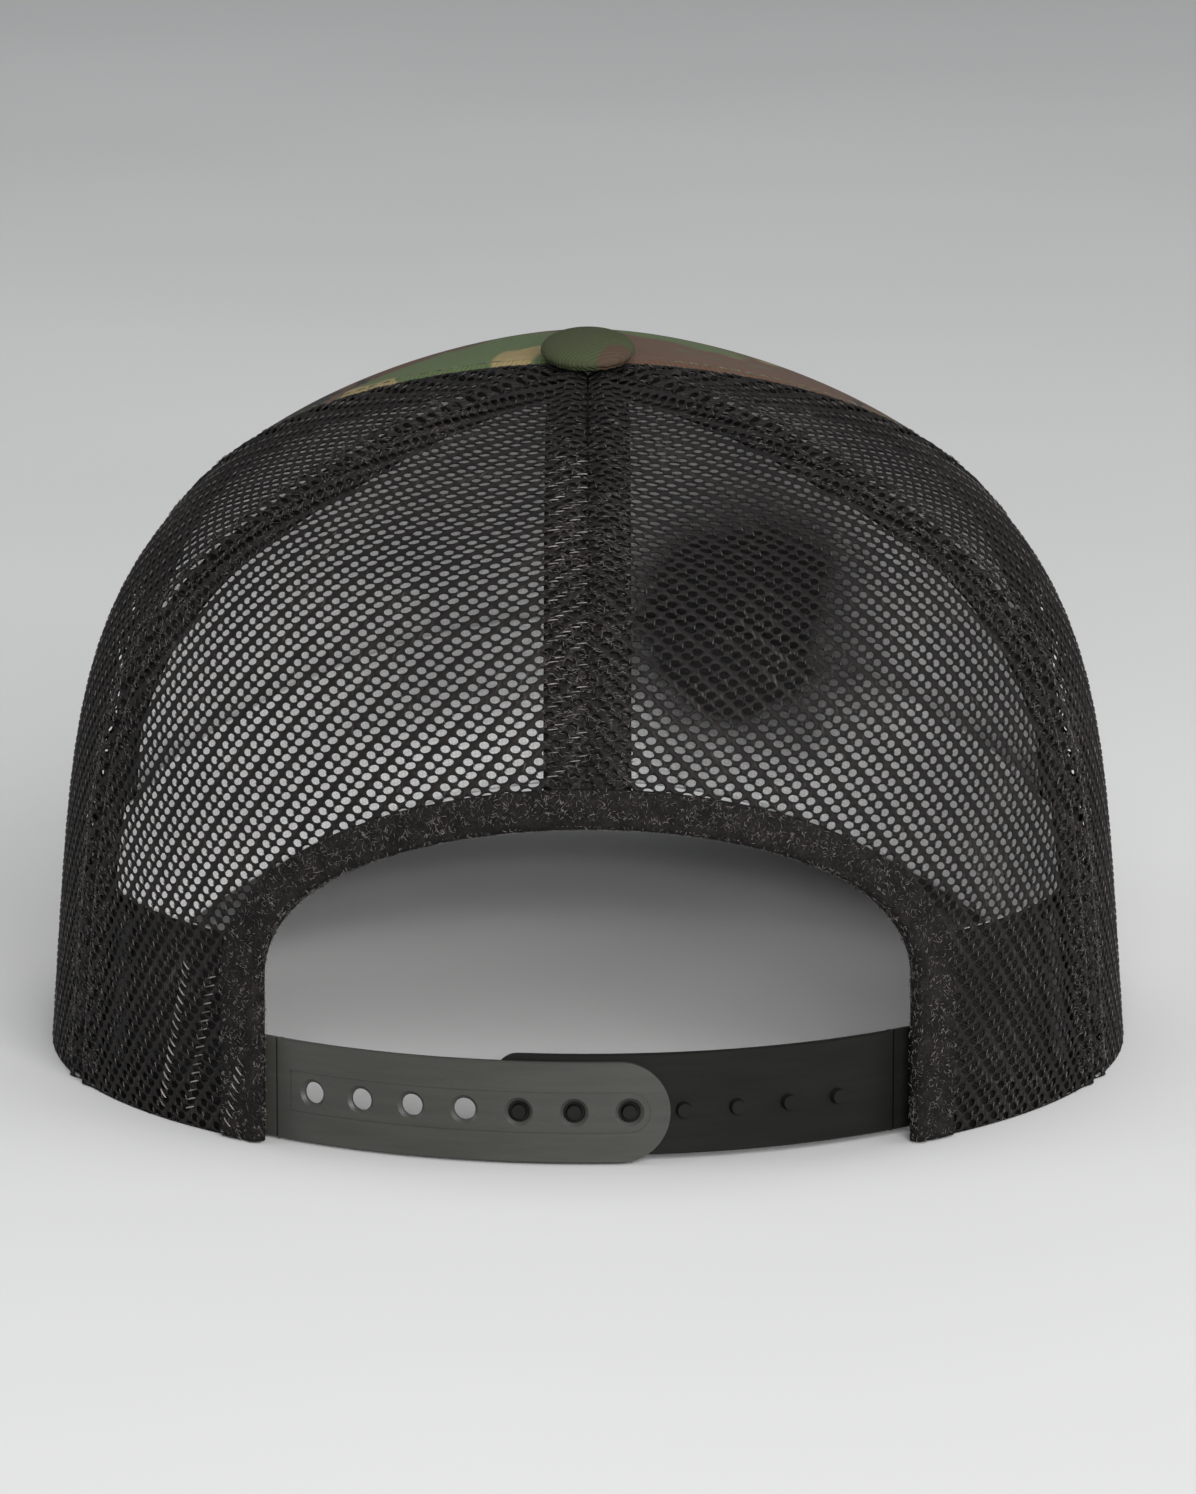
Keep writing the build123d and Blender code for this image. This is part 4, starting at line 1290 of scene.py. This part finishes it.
def finish_node(node, material):
    """Gives a CAD part its finish."""
    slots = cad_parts[node].data.materials
    slots.clear()
    slots.append(material)


def finish_cad_parts():
    for node, plastic in (("hole_strap", lit_hole_plastic), ("pin_strap", shaded_pin_plastic)):
        finish_node(node, plastic)
        finish_node(node + "_root", plastic)
    for node in ("button_shell", "button_rivet"):
        finish_node(node, metal)
    finish_node("visor_board", board_plastic)


# ---- floor, light and camera ----

CAMERA_DISTANCE = 1.5
CAMERA_RISE = 0.2116                # radians above the horizontal
CAMERA_AIM = Vector((-1.75 * MM, 0.0, 51.0 * MM))
FOCAL_MM = 206.5


def make_floor():
    """Pale floor that curves up far behind the cap."""
    half, near, far, bend, top = 6.0, 4.0, -3.0, 2.0, 6.0
    turn = np.linspace(0, math.pi / 2, 24)
    curve = np.stack([far - bend * np.sin(turn), bend * (1 - np.cos(turn))], -1)
    line = [(near, 0.0), *curve, (far - bend, top)]
    points = np.array([[(-half, y, z), (half, y, z)] for y, z in line])
    material, tree = shader("floor_paint", 0.85)
    cloud = noise(tree, object_space(tree), 3, 2)
    finish(material, ramp(tree, cloud, (0.3, (0.46, 0.46, 0.455)), (0.7, (0.49, 0.49, 0.485))))
    new_piece("floor", points.reshape(-1, 3), grid_faces(len(line), 2), material)


def add_light(name, place, aim, size, power):
    data = bpy.data.lights.new(name, "AREA")
    data.shape = "RECTANGLE"
    data.size, data.size_y = size
    data.energy = power
    light = bpy.data.objects.new(name, data)
    light.location = place
    light.rotation_euler = (Vector(aim) - Vector(place)).to_track_quat("-Z", "Y").to_euler()
    bpy.context.collection.objects.link(light)


def make_light():
    world = bpy.data.worlds.new("studio")
    world.use_nodes = True
    sky = world.node_tree.nodes["Background"]
    sky.inputs["Color"].default_value = (0.92, 0.95, 1.0, 1)
    sky.inputs["Strength"].default_value = 0.32
    bpy.context.scene.world = world
    middle = (0, 0, 0.05)
    add_light("key", (-0.45, 2.05, 0.9), middle, (1.5, 1.0), 84)
    add_light("fill", (-1.7, 0.9, 0.8), middle, (1.0, 1.2), 8)
    for side in (1, -1):
        add_light("side", (side * 1.8, 0.1, 0.4), middle, (0.7, 1.1), 12)
    add_light("top", (0, -0.3, 1.9), middle, (1.4, 1.0), 16)


def make_camera():
    data = bpy.data.cameras.new("camera")
    data.lens = FOCAL_MM
    data.sensor_width = 36
    data.clip_start = 0.05
    data.clip_end = 30
    camera = bpy.data.objects.new("camera", data)
    back = Vector((0, math.cos(CAMERA_RISE), math.sin(CAMERA_RISE)))
    camera.location = CAMERA_AIM + back * CAMERA_DISTANCE
    camera.rotation_euler = (-back).to_track_quat("-Z", "Y").to_euler()
    bpy.context.collection.objects.link(camera)
    bpy.context.scene.camera = camera


bpy.context.scene.view_settings.view_transform = "Standard"
make_camera()
make_floor()
make_light()
make_mesh_panels()
make_front_panels()
make_tapes()
make_binding()
make_binding_fibres()
make_seam_fibres()
make_rim_hem()
make_sweatband()
make_visor()
make_seam_stitches()
make_braids()
make_button()
finish_cad_parts()
